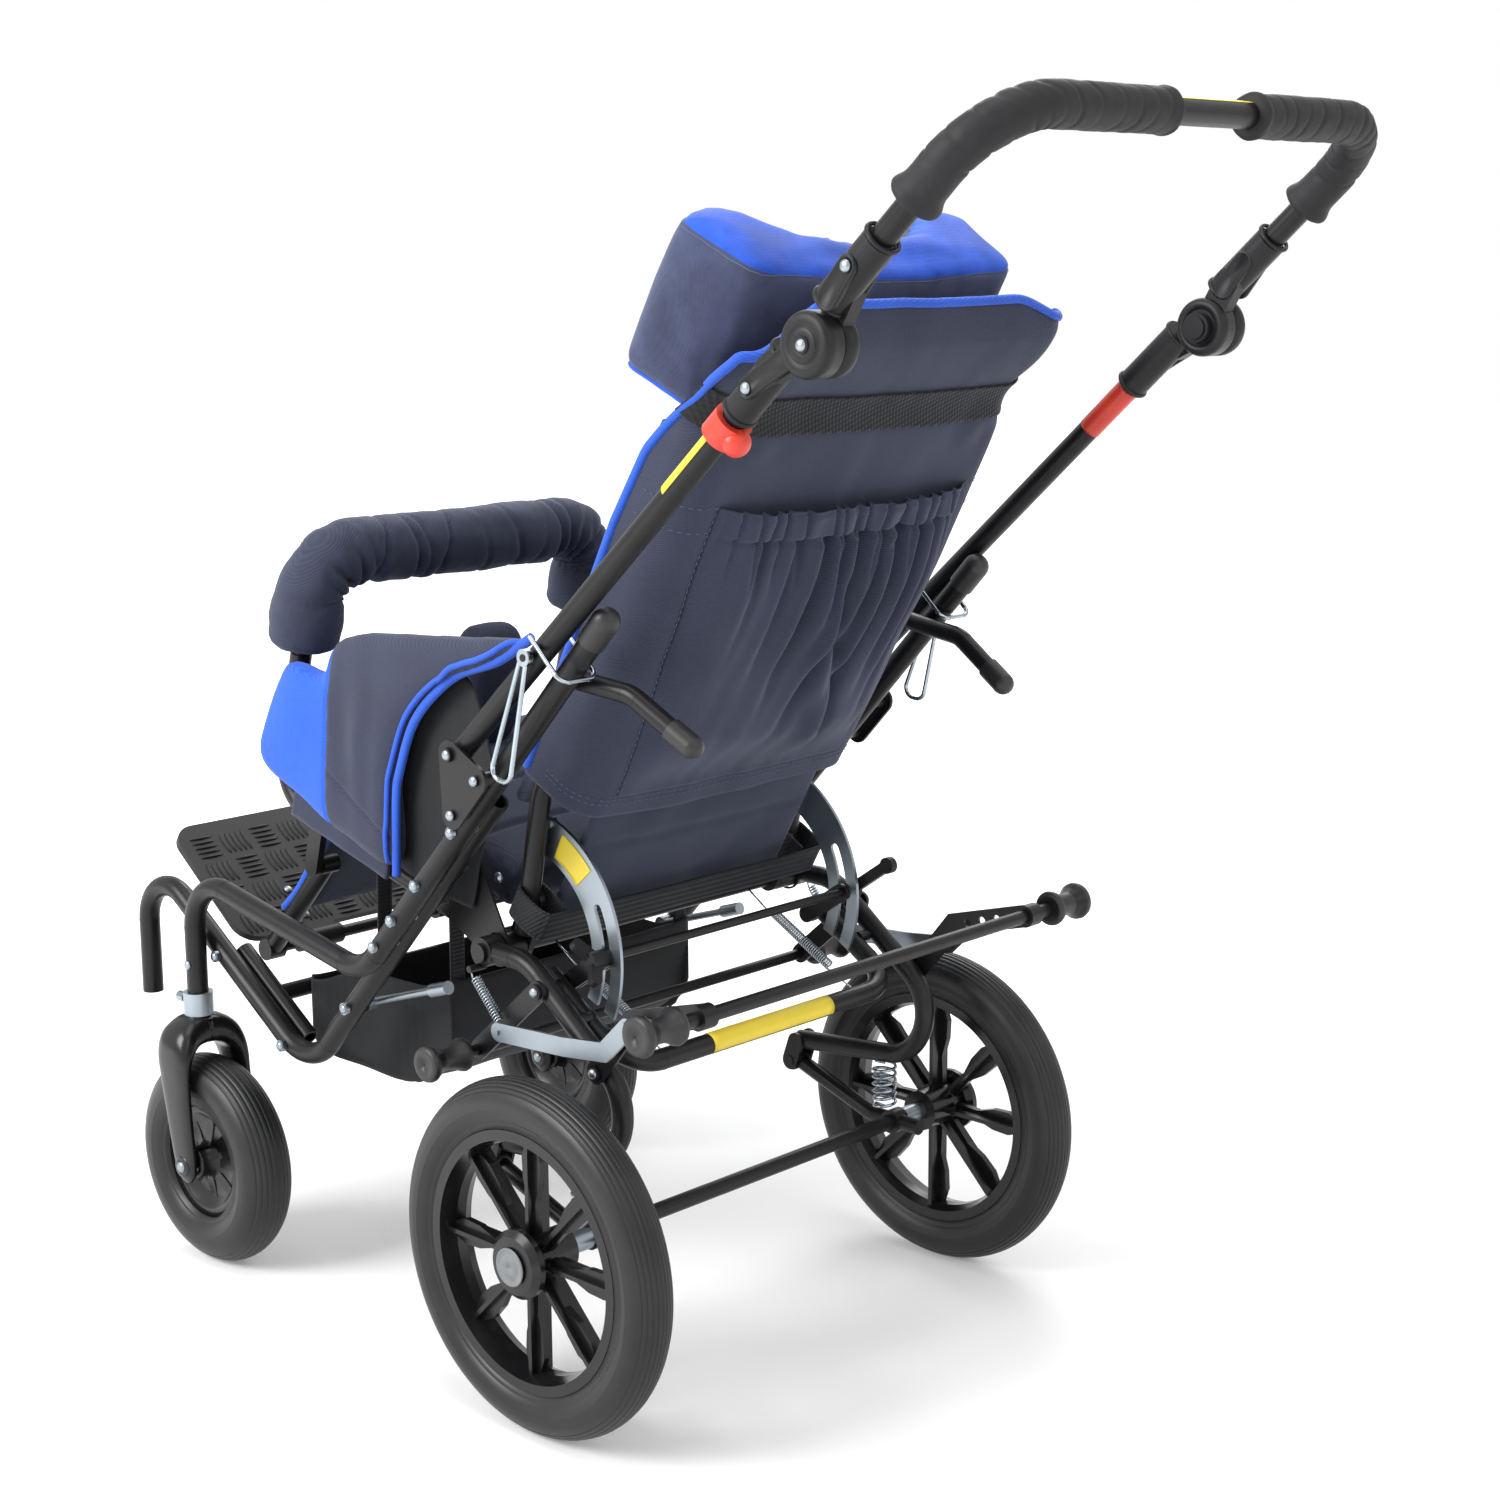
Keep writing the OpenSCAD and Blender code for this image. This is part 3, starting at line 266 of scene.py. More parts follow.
def woven(name, base, thread, directions, contrast=0.25, sheen=0.18, rough=0.82, panel=None, depth=0.0004,
          blotch=(9.0, 0.86, 1.1)):
    """Cloth: crossed thread lines on Object coordinates, with a slow change of tone. A panel colour may fill one side
    of a plane given by a direction and a distance, or of the line where a stored attribute is zero."""
    m, t, s = material(name)
    at = node(t, "ShaderNodeTexCoord").outputs["Object"]
    lines = None
    for d in directions:
        wave = maths(t, "SINE", maths(t, "MULTIPLY", dot(t, at, d), 2 * math.pi / thread))
        lines = wave if lines is None else maths(t, "MULTIPLY", lines, wave)
    unit = ranged(t, lines, 0.0, 1.0, -1.0, 1.0)
    ground = rgba(base)
    if panel:
        code, direction, limit = panel
        if isinstance(direction, str):
            side = node(t, "ShaderNodeAttribute", attribute_name=direction).outputs["Fac"]
        else:
            side = dot(t, at, direction)
        ground = mixed(t, maths(t, "GREATER_THAN", side, limit), rgba(base), rgba(code))
    dark = mixed(t, 1.0, ground, shade((1, 1, 1), 1 - contrast), "MULTIPLY")
    vary = ranged(t, clouds(t, at, blotch[0], 5.0, 0.6), blotch[1], blotch[2], 0.3, 0.7)
    fleck = ranged(t, clouds(t, at, 900.0, 1.0), 0.93, 1.07, 0.3, 0.7)
    final = node(t, "ShaderNodeVectorMath", {0: mixed(t, unit, dark, ground),
                                             "Scale": maths(t, "MULTIPLY", vary, fleck)}, operation="SCALE")
    t.links.new(final.outputs["Vector"], s.inputs["Base Color"])
    raised(t, s, unit, depth, 0.5)
    set_all(s, Roughness=rough, Sheen_Weight=sheen, Sheen_Roughness=0.45, Sheen_Tint=(0.75, 0.8, 1.0, 1.0),
            Specular_IOR_Level=0.3)
    return m


MATERIALS = {}


def make_materials():
    c, thread = colours(), sizes().thread
    twill = ((0.62, 0.25, 0.74),)
    knit = ((0.7, 0.1, 0.7), (-0.7, 0.15, 0.7))
    MATERIALS.update({
        # Powder-coated steel: satin black with a faint orange peel
        "powder_coat": surface("powder_coated_steel", c.tube, 0.8, 1.35, 25, (0.3, 0.42), 0.05, 900,
                               Specular_IOR_Level=0.28),
        # Zinc-plated steel: cool grey with cloudy plating
        "zinc": surface("zinc_plated_steel", c.zinc, 0.86, 1.06, 14, (0.3, 0.42), 0.01, 700, Metallic=1.0),
        # Bright zinc wire: smoother than the plates
        "wire": surface("bright_zinc_wire", c.zinc, 0.95, 1.15, 80, (0.14, 0.22), Metallic=1.0),
        # Moulded ABS: fine spark-eroded grain
        "plastic": surface("moulded_abs", c.plastic, 0.85, 1.25, 40, (0.4, 0.52), 0.06, 1600, Specular_IOR_Level=0.28),
        # Glass-filled nylon of the rims: a little glossier
        "rim": surface("glass_filled_nylon", c.plastic, 0.55, 0.9, 30, (0.2, 0.32), 0.03, 1200, Specular_IOR_Level=0.4),
        # Solid rubber tyre: dark, with a satin shine
        "tyre": surface("solid_rubber_tyre", c.rubber, 0.55, 0.95, 35, (0.34, 0.46), 0.05, 900, Specular_IOR_Level=0.4),
        # Soft rubber caps
        "rubber": surface("soft_rubber", c.rubber, 0.9, 1.15, 50, (0.42, 0.5), 0.03, 900),
        # Wrapped foam of the handle: leathery and matt
        "grip": surface("wrapped_foam_grip", c.grip, 0.8, 1.2, 60, (0.55, 0.68), 0.12, 1100, Specular_IOR_Level=0.28),
        # Polyester twill: diagonal lines, drawn at twice the real spacing so that they show
        "twill": woven("navy_polyester_twill", c.navy, thread, twill),
        # Edge binding: ribbed tape
        "binding": woven("blue_binding_tape", c.blue, thread, ((0.2, 0.5, 0.85),), 0.3, 0.2, 0.7),
        # Nylon of the basket
        "nylon": woven("black_nylon", c.webbing, thread, knit, 0.4, 0.1, 0.7),
        # Elastic band: honeycomb of covered rubber threads
        "elastic": woven("covered_elastic", c.webbing, 0.0055, ((0.97, 0.0, 0.24), (-0.5, 0.42, 0.75)), 0.75, 0.15,
                         0.75, depth=0.0016),
        # Woven webbing: lengthwise ribs
        "webbing": woven("polypropylene_webbing", c.webbing, 0.0032, ((0.0, -0.49, 0.87),), 0.6, 0.12, 0.65,
                         depth=0.001),
        # Marker strips: smooth yellow vinyl
        "yellow": surface("yellow_vinyl_film", c.yellow, 0.95, 1.03, 30, (0.32, 0.4)),
        # Marker band: the same vinyl in red
        "red_film": surface("red_vinyl_film", c.red, 0.75, 0.95, 30, (0.3, 0.4)),
        # Silicone of the clip light
        "red": surface("red_silicone", c.red, 0.95, 1.05, 30, (0.3, 0.42)),
        # Sewing thread
        "thread": surface("sewing_thread", c.thread, 0.9, 1.1, 200, (0.7, 0.8)),
        # Plain grey disc on the hub cap
        "disc": surface("grey_printed_disc", c.disc, 0.85, 1.1, 60, (0.35, 0.45)),
    })
    # Velour: brushed pile with blotches where it lies another way, and the bright knit of the top
    MATERIALS["velour"] = woven("navy_velour_and_knit", c.velour, 0.0012, knit, 0.04, 0.35, 0.9,
                                (c.knit, "top_panel", 0.0), blotch=(20.0, 0.62, 1.28))
    # Twill of the seat's sides, with the bright cloth in front of a slanting seam
    ahead = heading(on_seat, 0, -1, -0.18)
    MATERIALS["wing"] = woven("navy_twill_with_front_panel", c.navy, thread, twill,
                              panel=(c.blue, tuple(ahead), ahead.dot(on_seat(0, -221, 60))))


# Mesh helpers

def link_object(name, mesh):
    obj = bpy.data.objects.new(name, mesh)
    bpy.context.scene.collection.objects.link(obj)
    return obj


def new_mesh(name, verts, faces):
    mesh = bpy.data.meshes.new(name)
    mesh.from_pydata([tuple(v) for v in verts], [], faces)
    bm = bmesh.new()
    bm.from_mesh(mesh)
    bmesh.ops.remove_doubles(bm, verts=bm.verts, dist=1e-6)
    bmesh.ops.recalc_face_normals(bm, faces=bm.faces)
    bm.to_mesh(mesh)
    bm.free()
    mesh.shade_smooth()
    return mesh


def dress(obj, finish, body, slot, *nodes):
    """Gives a finished piece its material and body, and hides the solids that it stands for. The slot is not used."""
    obj.data.materials.clear()
    obj.data.materials.append(MATERIALS[finish])
    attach(obj, body)
    if nodes:
        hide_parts(*nodes)
    return obj


def piece(name, verts, faces, finish, body, slot, *nodes):
    return dress(link_object(name, new_mesh(name, verts, faces)), finish, body, slot, *nodes)


def loft(rings):
    """Closed rings of equal length joined into a skin, with a fan at each end."""
    n = len(rings[0])
    verts = [p for r in rings for p in r]
    faces = [(k * n + i, k * n + (i + 1) % n, (k + 1) * n + (i + 1) % n, (k + 1) * n + i)
             for k in range(len(rings) - 1) for i in range(n)]
    for ring, base in ((rings[0], 0), (rings[-1], (len(rings) - 1) * n)):
        verts.append(sum((Vector(p) for p in ring), Vector()) / n)
        faces += [(base + i, base + (i + 1) % n, len(verts) - 1) for i in range(n)]
    return verts, faces


def shell(grid, back):
    """Two grids of one size, front and back, sewn along their borders into a closed sheet."""
    rows, cols = len(grid), len(grid[0])
    verts = [p for r in grid for p in r] + [p for r in back for p in r]
    k = rows * cols
    faces = []
    for j in range(rows - 1):
        for i in range(cols - 1):
            a = j * cols + i
            faces += [(a, a + 1, a + cols + 1, a + cols), (k + a, k + a + cols, k + a + cols + 1, k + a + 1)]
    rim = ([i for i in range(cols)] + [j * cols + cols - 1 for j in range(1, rows)]
           + [(rows - 1) * cols + i for i in range(cols - 2, -1, -1)] + [j * cols for j in range(rows - 2, 0, -1)])
    for e, p in enumerate(rim):
        q = rim[(e + 1) % len(rim)]
        faces.append((p, q, q + k, p + k))
    return verts, faces


def sewn(rows, cols, point):
    """A closed sheet from a function that gives the outer and the inner point at a row and a column."""
    pairs = [[point(j, i) for i in range(cols)] for j in range(rows)]
    return shell(*([[pair[k] for pair in row] for row in pairs] for k in (0, 1)))


def plate(grid, *offset):
    """A closed sheet between a grid and the same grid moved by an offset in metres."""
    return shell(grid, [[p + Vector(offset) for p in row] for row in grid])


def joined(parts):
    """The points and faces of several meshes as one."""
    verts, faces = [], []
    for v, f in parts:
        faces += [tuple(k + len(verts) for k in q) for q in f]
        verts += v
    return verts, faces


def spline(points, n, closed=False):
    """A Catmull-Rom curve through the points of a plane or of space, at n even steps of length."""
    pts = [Vector(p).to_3d() for p in points]
    size = len(pts)
    fine = []
    spans = size if closed else size - 1
    for i in range(spans):
        if closed:
            a, b, c, d = (pts[(i + k) % size] for k in (-1, 0, 1, 2))
        else:
            b, c = pts[i], pts[i + 1]
            a = pts[i - 1] if i else b * 2 - c
            d = pts[i + 2] if i + 2 < size else c * 2 - b
        for k in range(16):
            t = k / 16
            fine.append(0.5 * (2 * b + (c - a) * t + (2 * a - 5 * b + 4 * c - d) * t * t
                               + (3 * b - a - 3 * c + d) * t ** 3))
    fine.append(pts[0] if closed else pts[-1])
    return even(fine, n, closed)


def even(path, n, closed=False):
    """The path at n even steps of length."""
    gaps = [0.0]
    for a, b in zip(path, path[1:]):
        gaps.append(gaps[-1] + (b - a).length)
    out, j = [], 0
    for i in range(n):
        want = gaps[-1] * i / (n if closed else n - 1)
        while j < len(gaps) - 2 and gaps[j + 1] < want:
            j += 1
        span = gaps[j + 1] - gaps[j]
        out.append(path[j].lerp(path[j + 1], (want - gaps[j]) / span if span else 0.0))
    return out


def bent(corners, radius, n):
    """A path with round bends through the corners, at n even steps."""
    pts = [Vector(p) for p in corners]
    fine = [pts[0]]
    for a, b, c in zip(pts, pts[1:], pts[2:]):
        u, v = (a - b).normalized(), (c - b).normalized()
        half = u.angle(v) / 2
        cut = radius / math.tan(half)
        centre = b + (u + v).normalized() * radius / math.sin(half)
        start, end = b + u * cut - centre, b + v * cut - centre
        for k in range(25):
            fine.append(centre + start.normalized().slerp(end.normalized(), k / 24) * radius)
    fine.append(pts[-1])
    return even(fine, n)


def frames(path):
    """Tangent and two side directions at each point, carried along without twist."""
    out = []
    last = len(path) - 1
    side = None
    for i, p in enumerate(path):
        t = (path[min(i + 1, last)] - path[max(i - 1, 0)]).normalized()
        if side is None:
            side = t.orthogonal().normalized() if abs(t.x) > 0.9 else t.cross(Vector((1, 0, 0))).normalized()
        side = (side - t * side.dot(t)).normalized()
        out.append((t, side, t.cross(side)))
    return out


def tube(path, sides, radius):
    """Rings round a path. radius(i, angle) gives the distance at a point and an angle."""
    rings = []
    for i, (p, (t, a, b)) in enumerate(zip(path, frames(path))):
        ring = []
        for k in range(sides):
            w = 2 * math.pi * k / sides
            ring.append(p + (a * math.cos(w) + b * math.sin(w)) * radius(i, w))
        rings.append(ring)
    return loft(rings)


def tape(path, sides, radius, flat=0.0):
    """A tube of one radius, which may be pressed flat by a share of it."""
    return tube(path, sides, lambda i, w: radius * (1 - flat * abs(math.sin(w))))


def lathe(profile, segments, place):
    """A closed profile of (radius, along) in millimetres, turned about X and placed by a function."""
    rings = []
    for k in range(segments):
        w = 2 * math.pi * k / segments
        rings.append([place(x, r * math.cos(w), r * math.sin(w)) for r, x in profile])
    n = len(profile)
    verts = [p for r in rings for p in r]
    faces = [(k * n + i, k * n + (i + 1) % n, ((k + 1) % segments) * n + (i + 1) % n, ((k + 1) % segments) * n + i)
             for k in range(segments) for i in range(n)]
    return verts, faces


def applied(obj):
    """The object's mesh with its modifiers made real."""
    bpy.context.view_layer.update()
    evaluated = obj.evaluated_get(bpy.context.evaluated_depsgraph_get())
    mesh = bpy.data.meshes.new_from_object(evaluated)
    obj.modifiers.clear()
    obj.data = mesh
    mesh.shade_smooth()
    return obj


def point_values(obj, key):
    """The place or normal of every point of a mesh, in rows."""
    data = np.empty(len(obj.data.vertices) * 3)
    obj.data.vertices.foreach_get(key, data)
    return data.reshape(-1, 3)


# Cloth simulation of the pads
SWELL_PRESSURE, SWELL_FRAMES = 4.0, 20


def puff(name, verts, faces, cap, voxel=0.005, evening=3):
    """A padded piece: an even mesh that swells under pressure in a cloth simulation, held to a farthest movement."""
    obj = link_object(name, new_mesh(name, verts, faces))
    grid = obj.modifiers.new("Even mesh", "REMESH")
    grid.mode, grid.voxel_size = "VOXEL", voxel
    applied(obj)
    rest = point_values(obj, "co")
    cloth = obj.modifiers.new("Swell", "CLOTH")
    s = cloth.settings
    s.quality, s.mass = 4, 0.3
    s.tension_stiffness, s.compression_stiffness, s.shear_stiffness, s.bending_stiffness = 15, 15, 5, 0.5
    s.use_pressure, s.uniform_pressure_force = True, SWELL_PRESSURE
    s.effector_weights.gravity = 0
    cloth.point_cache.frame_start, cloth.point_cache.frame_end = 1, SWELL_FRAMES
    scene = bpy.context.scene
    for f in range(1, SWELL_FRAMES + 1):
        scene.frame_set(f)
    applied(obj)
    scene.frame_set(1)
    move = point_values(obj, "co") - rest
    far = np.linalg.norm(move, axis=1, keepdims=True)
    obj.data.vertices.foreach_set("co", (rest + move * np.minimum(1, cap / np.maximum(far, 1e-9))).ravel())
    even_out = obj.modifiers.new("Even out", "SMOOTH")
    even_out.factor, even_out.iterations = 0.5, evening
    fine = obj.modifiers.new("Fine", "SUBSURF")
    fine.levels = fine.render_levels = 1
    return applied(obj)


def press(obj, depth):
    """Moves each point in along its normal by depth(point), in metres: seams, channels and creases."""
    co, no = point_values(obj, "co"), point_values(obj, "normal")
    d = np.array([depth(Vector(p)) for p in co])
    obj.data.vertices.foreach_set("co", (co - no * d[:, None]).ravel())
    obj.data.update()
    return obj


def skin(obj):
    """A function that puts a point on the object's surface, a distance out along its normal."""
    mesh = obj.data
    tree = BVHTree.FromPolygons([v.co for v in mesh.vertices], [f.vertices for f in mesh.polygons])

    def put(p, out=0.0):
        place, normal = tree.find_nearest(p)[:2]
        return place + normal * out
    return put


def mark(obj, name, value):
    """Stores a number at each point of the mesh, for a material to read."""
    data = obj.data.attributes.new(name, "FLOAT", "POINT").data
    data.foreach_set("value", [value(v.co) for v in obj.data.vertices])


def local(p, angle):
    """A point of the part in millimetres of a frame tilted about the common pivot."""
    y, z = p.y * 1000 - PIVOT[0], p.z * 1000 - PIVOT[1]
    c, s = math.cos(angle), math.sin(angle)
    return p.x * 1000, y * c - z * s, y * s + z * c


# Geometry node trees

def group(name, *inputs):
    """An empty tree with a geometry input and output, and named inputs of (name, kind, default)."""
    tree = bpy.data.node_groups.new(name, "GeometryNodeTree")
    tree.interface.new_socket("Geometry", in_out="INPUT", socket_type="NodeSocketGeometry")
    tree.interface.new_socket("Geometry", in_out="OUTPUT", socket_type="NodeSocketGeometry")
    for label, kind, value in inputs:
        s = tree.interface.new_socket(label, in_out="INPUT", socket_type=kind)
        if value is not None:
            s.default_value = value
    return tree, tree.nodes.new("NodeGroupInput"), tree.nodes.new("NodeGroupOutput")


def planted(tree, given, out, shape, turn):
    """Ends a tree: the shape stands on every point, turned, smooth, made real and with the finish given."""
    smooth_shape = node(tree, "GeometryNodeSetShadeSmooth", {"Geometry": shape})
    copies = node(tree, "GeometryNodeInstanceOnPoints", {
        "Points": given["Geometry"], "Instance": smooth_shape.outputs["Geometry"], "Rotation": turn})
    real = node(tree, "GeometryNodeRealizeInstances", {"Geometry": copies.outputs["Instances"]})
    done = node(tree, "GeometryNodeSetMaterial", {"Geometry": real.outputs["Geometry"], "Material": given["Finish"]})
    tree.links.new(done.outputs["Geometry"], out.inputs["Geometry"])
    return tree


def stored(tree, name):
    return node(tree, "GeometryNodeInputNamedAttribute", {"Name": name}, data_type="FLOAT_VECTOR").outputs["Attribute"]


def bolt_tree():
    """A domed bolt head on every point, standing along the point's normal."""
    tree, given, out = group("bolt_heads", ("Radius", "NodeSocketFloat", 0.0046),
                             ("Finish", "NodeSocketMaterial", None))
    given = given.outputs
    ball = node(tree, "GeometryNodeMeshUVSphere", {"Segments": 16, "Rings": 8, "Radius": given["Radius"]})
    flat = node(tree, "GeometryNodeTransform", {"Geometry": ball.outputs["Mesh"], "Scale": (1, 1, 0.55)})
    turn = node(tree, "FunctionNodeAlignRotationToVector", {"Vector": stored(tree, "stand")}, axis="Z")
    return planted(tree, given, out, flat.outputs["Geometry"], turn.outputs["Rotation"])


def bar_tree():
    """A small rounded bar on every point, standing along one stored direction and lying along another. It makes the
    stitches and the raised treads."""
    tree, given, out = group("small_bars", ("Length", "NodeSocketFloat", 0.004), ("Width", "NodeSocketFloat", 0.001),
                             ("Height", "NodeSocketFloat", 0.0006), ("Finish", "NodeSocketMaterial", None))
    given = given.outputs
    ball = node(tree, "GeometryNodeMeshUVSphere", {"Segments": 10, "Rings": 6, "Radius": 0.5})
    size = node(tree, "ShaderNodeCombineXYZ", {"X": given["Length"], "Y": given["Width"], "Z": given["Height"]})
    bar = node(tree, "GeometryNodeTransform", {"Geometry": ball.outputs["Mesh"], "Scale": size.outputs["Vector"]})
    first = node(tree, "FunctionNodeAlignRotationToVector", {"Vector": stored(tree, "lie")}, axis="X")
    turn = node(tree, "FunctionNodeAlignRotationToVector", {
        "Rotation": first.outputs["Rotation"], "Vector": stored(tree, "stand")}, axis="Z", pivot_axis="X")
    return planted(tree, given, out, bar.outputs["Geometry"], turn.outputs["Rotation"])


def grown(name, tree, points, vectors, values, finish, body, slot):
    """Runs a tree on points that carry direction attributes, and keeps the result as a plain mesh on a body."""
    mesh = bpy.data.meshes.new(name)
    mesh.from_pydata([tuple(p) for p in points], [], [])
    for label, data in vectors.items():
        mesh.attributes.new(label, "FLOAT_VECTOR", "POINT").data.foreach_set(
            "vector", np.array([tuple(v) for v in data], np.float32).ravel())
    obj = link_object(name, mesh)
    mod = obj.modifiers.new("Grow", "NODES")
    mod.node_group = tree
    for item in tree.interface.items_tree:
        if item.in_out == "INPUT" and item.name in values:
            mod[item.identifier] = values[item.name]
        if item.in_out == "INPUT" and item.name == "Finish":
            mod[item.identifier] = MATERIALS[finish]
    applied(obj)
    for label in vectors:
        if label in obj.data.attributes:
            obj.data.attributes.remove(obj.data.attributes[label])
    return dress(obj, finish, body, slot)


# The back cover's surface, shared by the cover, its pocket, the strap and the stitching

COVER_LOW, POCKET_LOW, POCKET_TOP = 150.0, 173.0, 452.0


def cover_half(z):
    flare = 12 * smooth(535, 600, z) - 7 * bump(z, 529, 26)
    return RAIL_X + 4 + 18 * (z - COVER_LOW) / (BACK_TOP - COVER_LOW) + flare


def cover_rear(z):
    flat = 20 - 8 * smooth(330, 515, z)
    return flat + 5 * smooth(545, 585, z) - 15 * smooth(590, BACK_TOP + 4, z) - 5 * bump(z, 529, 22)


def cover_top(t):
    """Height of the cover's upper edge, which falls to round corners."""
    return BACK_TOP + 2 - (38 if t > 0 else 20) * smooth(0.6, 1.0, abs(t))


# How far the cover's sides lap forward at some heights: the left corner is pulled back and the right one hangs free
LAP_HEIGHTS = (400, 470, 510, 548, 580, 622)
LAPS = {1: (50, 44, 30, 12, -11, -15), -1: (50, 44, 30, 16, 10, 8)}


def cover_point(t, z, out=0.0):
    """The cover's outer skin: t runs from the left front edge at 1 to the right one at -1."""
    sign = 1 if t >= 0 else -1
    half, rear = cover_half(z), cover_rear(z)
    lap, corner = float(np.interp(z, LAP_HEIGHTS, LAPS[sign])), 34.0
    side = lap + rear - corner
    arc = corner * math.pi / 2
    total = half - corner + arc + side
    d = abs(t) * total
    if d < half - corner:
        x, y, nx, ny = d, rear, 0.0, 1.0
        bow = 4 * (1 - (d / (half - corner)) ** 2)
        y += bow
    elif d < half - corner + arc:
        w = (d - half + corner) / corner
        nx, ny = math.sin(w), math.cos(w)
        x, y = half - corner + corner * nx, rear - corner + corner * ny
    else:
        x, y, nx, ny = half, rear - corner - (d - half + corner - arc), 1.0, 0.0
    soft = noise.noise(Vector((sign * x / 70, y / 70, z / 90))) * 2.2
    soft += noise.noise(Vector((sign * x / 26 + 5, y / 40, z / 45))) * 0.9
    pull = 2.4 * bump(z, 500, 10) * math.sin(x / 9) * smooth(60, 160, x)
    lift = out + (soft + pull) * smooth(1.0, 0.9, abs(t))
    return sign * (x + nx * lift), y + ny * lift, z


def valley(phase):
    """One in a sharp crease and nought on the round lobes between, for gathered cloth."""
    return (1 - abs(math.sin(phase))) ** 2


def stitch_line(points, gap):
    """Points and directions of a row of stitches along a path."""
    total = sum((b - a).length for a, b in zip(points, points[1:]))
    row = even(points, max(3, int(total / gap)))
    lie = [(row[min(i + 1, len(row) - 1)] - row[max(i - 1, 0)]).normalized() for i in range(len(row))]
    return row, lie


def seen_directly(tree):
    """One for rays from the camera, a mirror or glass, and nought for the light that reaches the object."""
    ray = node(tree, "ShaderNodeLightPath").outputs
    return maths(tree, "MAXIMUM", maths(tree, "MAXIMUM", ray["Is Camera Ray"], ray["Is Glossy Ray"]),
                 ray["Is Transmission Ray"])


# Operators

class BUGGY_OT_stage(bpy.types.Operator):
    """Camera at the photograph's place, pale floor and soft light"""

    bl_idname = "buggy.stage"
    bl_label = "Stage"

    def execute(self, context):
        scene = context.scene
        azimuth, elevation, roll = (math.radians(a) for a in CAMERA_ANGLES)
        away = Vector((math.sin(azimuth) * math.cos(elevation), -math.cos(azimuth) * math.cos(elevation),
                       math.sin(elevation)))
        right = Vector((math.cos(azimuth), math.sin(azimuth), 0))
        up = away.cross(right)
        turned = right * math.cos(roll) + up * math.sin(roll)
        up = away.cross(turned)
        camera = bpy.data.cameras.new("camera")
        camera.lens, camera.sensor_width, camera.sensor_fit = CAMERA_LENS, 36.0, "HORIZONTAL"
        camera.clip_end = 60
        holder = bpy.data.objects.new("camera", camera)
        scene.collection.objects.link(holder)
        m = Matrix((turned, up, away)).transposed().to_4x4()
        m.translation = Vector(CAMERA_PLACE)
        holder.matrix_world = m
        scene.camera = holder

        # Floor: matt white paint, which glows for the camera away from the part and so fades into the white behind it
        floor_material, t, s = material("pale_floor")
        set_all(s, Roughness=0.9, Specular_IOR_Level=0.1)
        speck = node(t, "ShaderNodeTexNoise", {"Scale": 3.0})
        t.links.new(ranged(t, speck.outputs["Fac"], 0.84, 0.88), s.inputs["Base Color"])
        place = node(t, "ShaderNodeTexCoord").outputs["Object"]
        far = node(t, "ShaderNodeVectorMath", {0: place}, operation="LENGTH").outputs["Value"]
        glow = node(t, "ShaderNodeEmission", {"Color": (1, 1, 1, 1), "Strength": ranged(t, far, 0.16, 0.9, 0.5, 2.2)})
        sum_ = node(t, "ShaderNodeAddShader", {0: s.outputs["BSDF"], 1: glow.outputs["Emission"]})
        mix = node(t, "ShaderNodeMixShader", {0: seen_directly(t), 1: s.outputs["BSDF"], 2: sum_.outputs["Shader"]})
        t.links.new(mix.outputs["Shader"], t.nodes["Material Output"].inputs["Surface"])
        bm = bmesh.new()
        bmesh.ops.create_circle(bm, cap_ends=True, segments=64, radius=14)
        mesh = bpy.data.meshes.new("floor")
        bm.to_mesh(mesh)
        bm.free()
        mesh.materials.append(floor_material)
        link_object("floor", mesh)

        sky = bpy.data.worlds.new("studio")
        scene.world = sky
        sky.use_nodes = True
        w = sky.node_tree
        plain = node(w, "ShaderNodeBackground", {"Color": (1, 1, 1, 1), "Strength": 0.62})
        white = node(w, "ShaderNodeBackground", {"Color": (1, 1, 1, 1), "Strength": 1.0})
        choose = node(w, "ShaderNodeMixShader", {0: seen_directly(w), 1: plain.outputs["Background"],
                                                 2: white.outputs["Background"]})
        w.links.new(choose.outputs["Shader"], w.nodes["World Output"].inputs["Surface"])

        for name, (place, size, power) in LAMPS.items():
            lamp = bpy.data.lights.new(name, "AREA")
            lamp.size, lamp.energy = size, power
            light = bpy.data.objects.new(name, lamp)
            scene.collection.objects.link(light)
            light.location = place
            light.rotation_euler = (Vector(place) - Vector(LAMPS_FACE)).to_track_quat("Z", "Y").to_euler()
        scene.view_settings.view_transform = "Standard"
        return {"FINISHED"}


NODE_FINISH = {
    "powder_coat": ["side_tubes", "inner_tubes", "tip_levers", "gusset_plates", "lower_cross_frame", "seat_frame",
                    "side_plates", "push_tubes", "handle_bar", "backrest_tube", "rear_legs", "rear_u_tube",
                    "recline_clamps", "foot_bar", "lower_pedal", "swing_arms", "axle", "leg_hangers", "bumper_tube"],
    "zinc": ["frame_fasteners", "swivel_collars", "recline_arcs", "foot_bar_strips", "axle_spacers"],
    "wire": ["lock_ring_left", "lock_ring_right", "stirrup_left", "stirrup_right", "swivel_pin_left",
             "swivel_pin_right"],
    "plastic": ["elbow_sockets", "elbow_knuckles", "elbow_button_left", "elbow_button_right", "recline_knob",
                "recline_lever", "footplate"],
    "rim": ["rear_rim_left", "rear_rim_right"],
    "rubber": ["tube_caps"],
    "red": ["clip_light"],
}


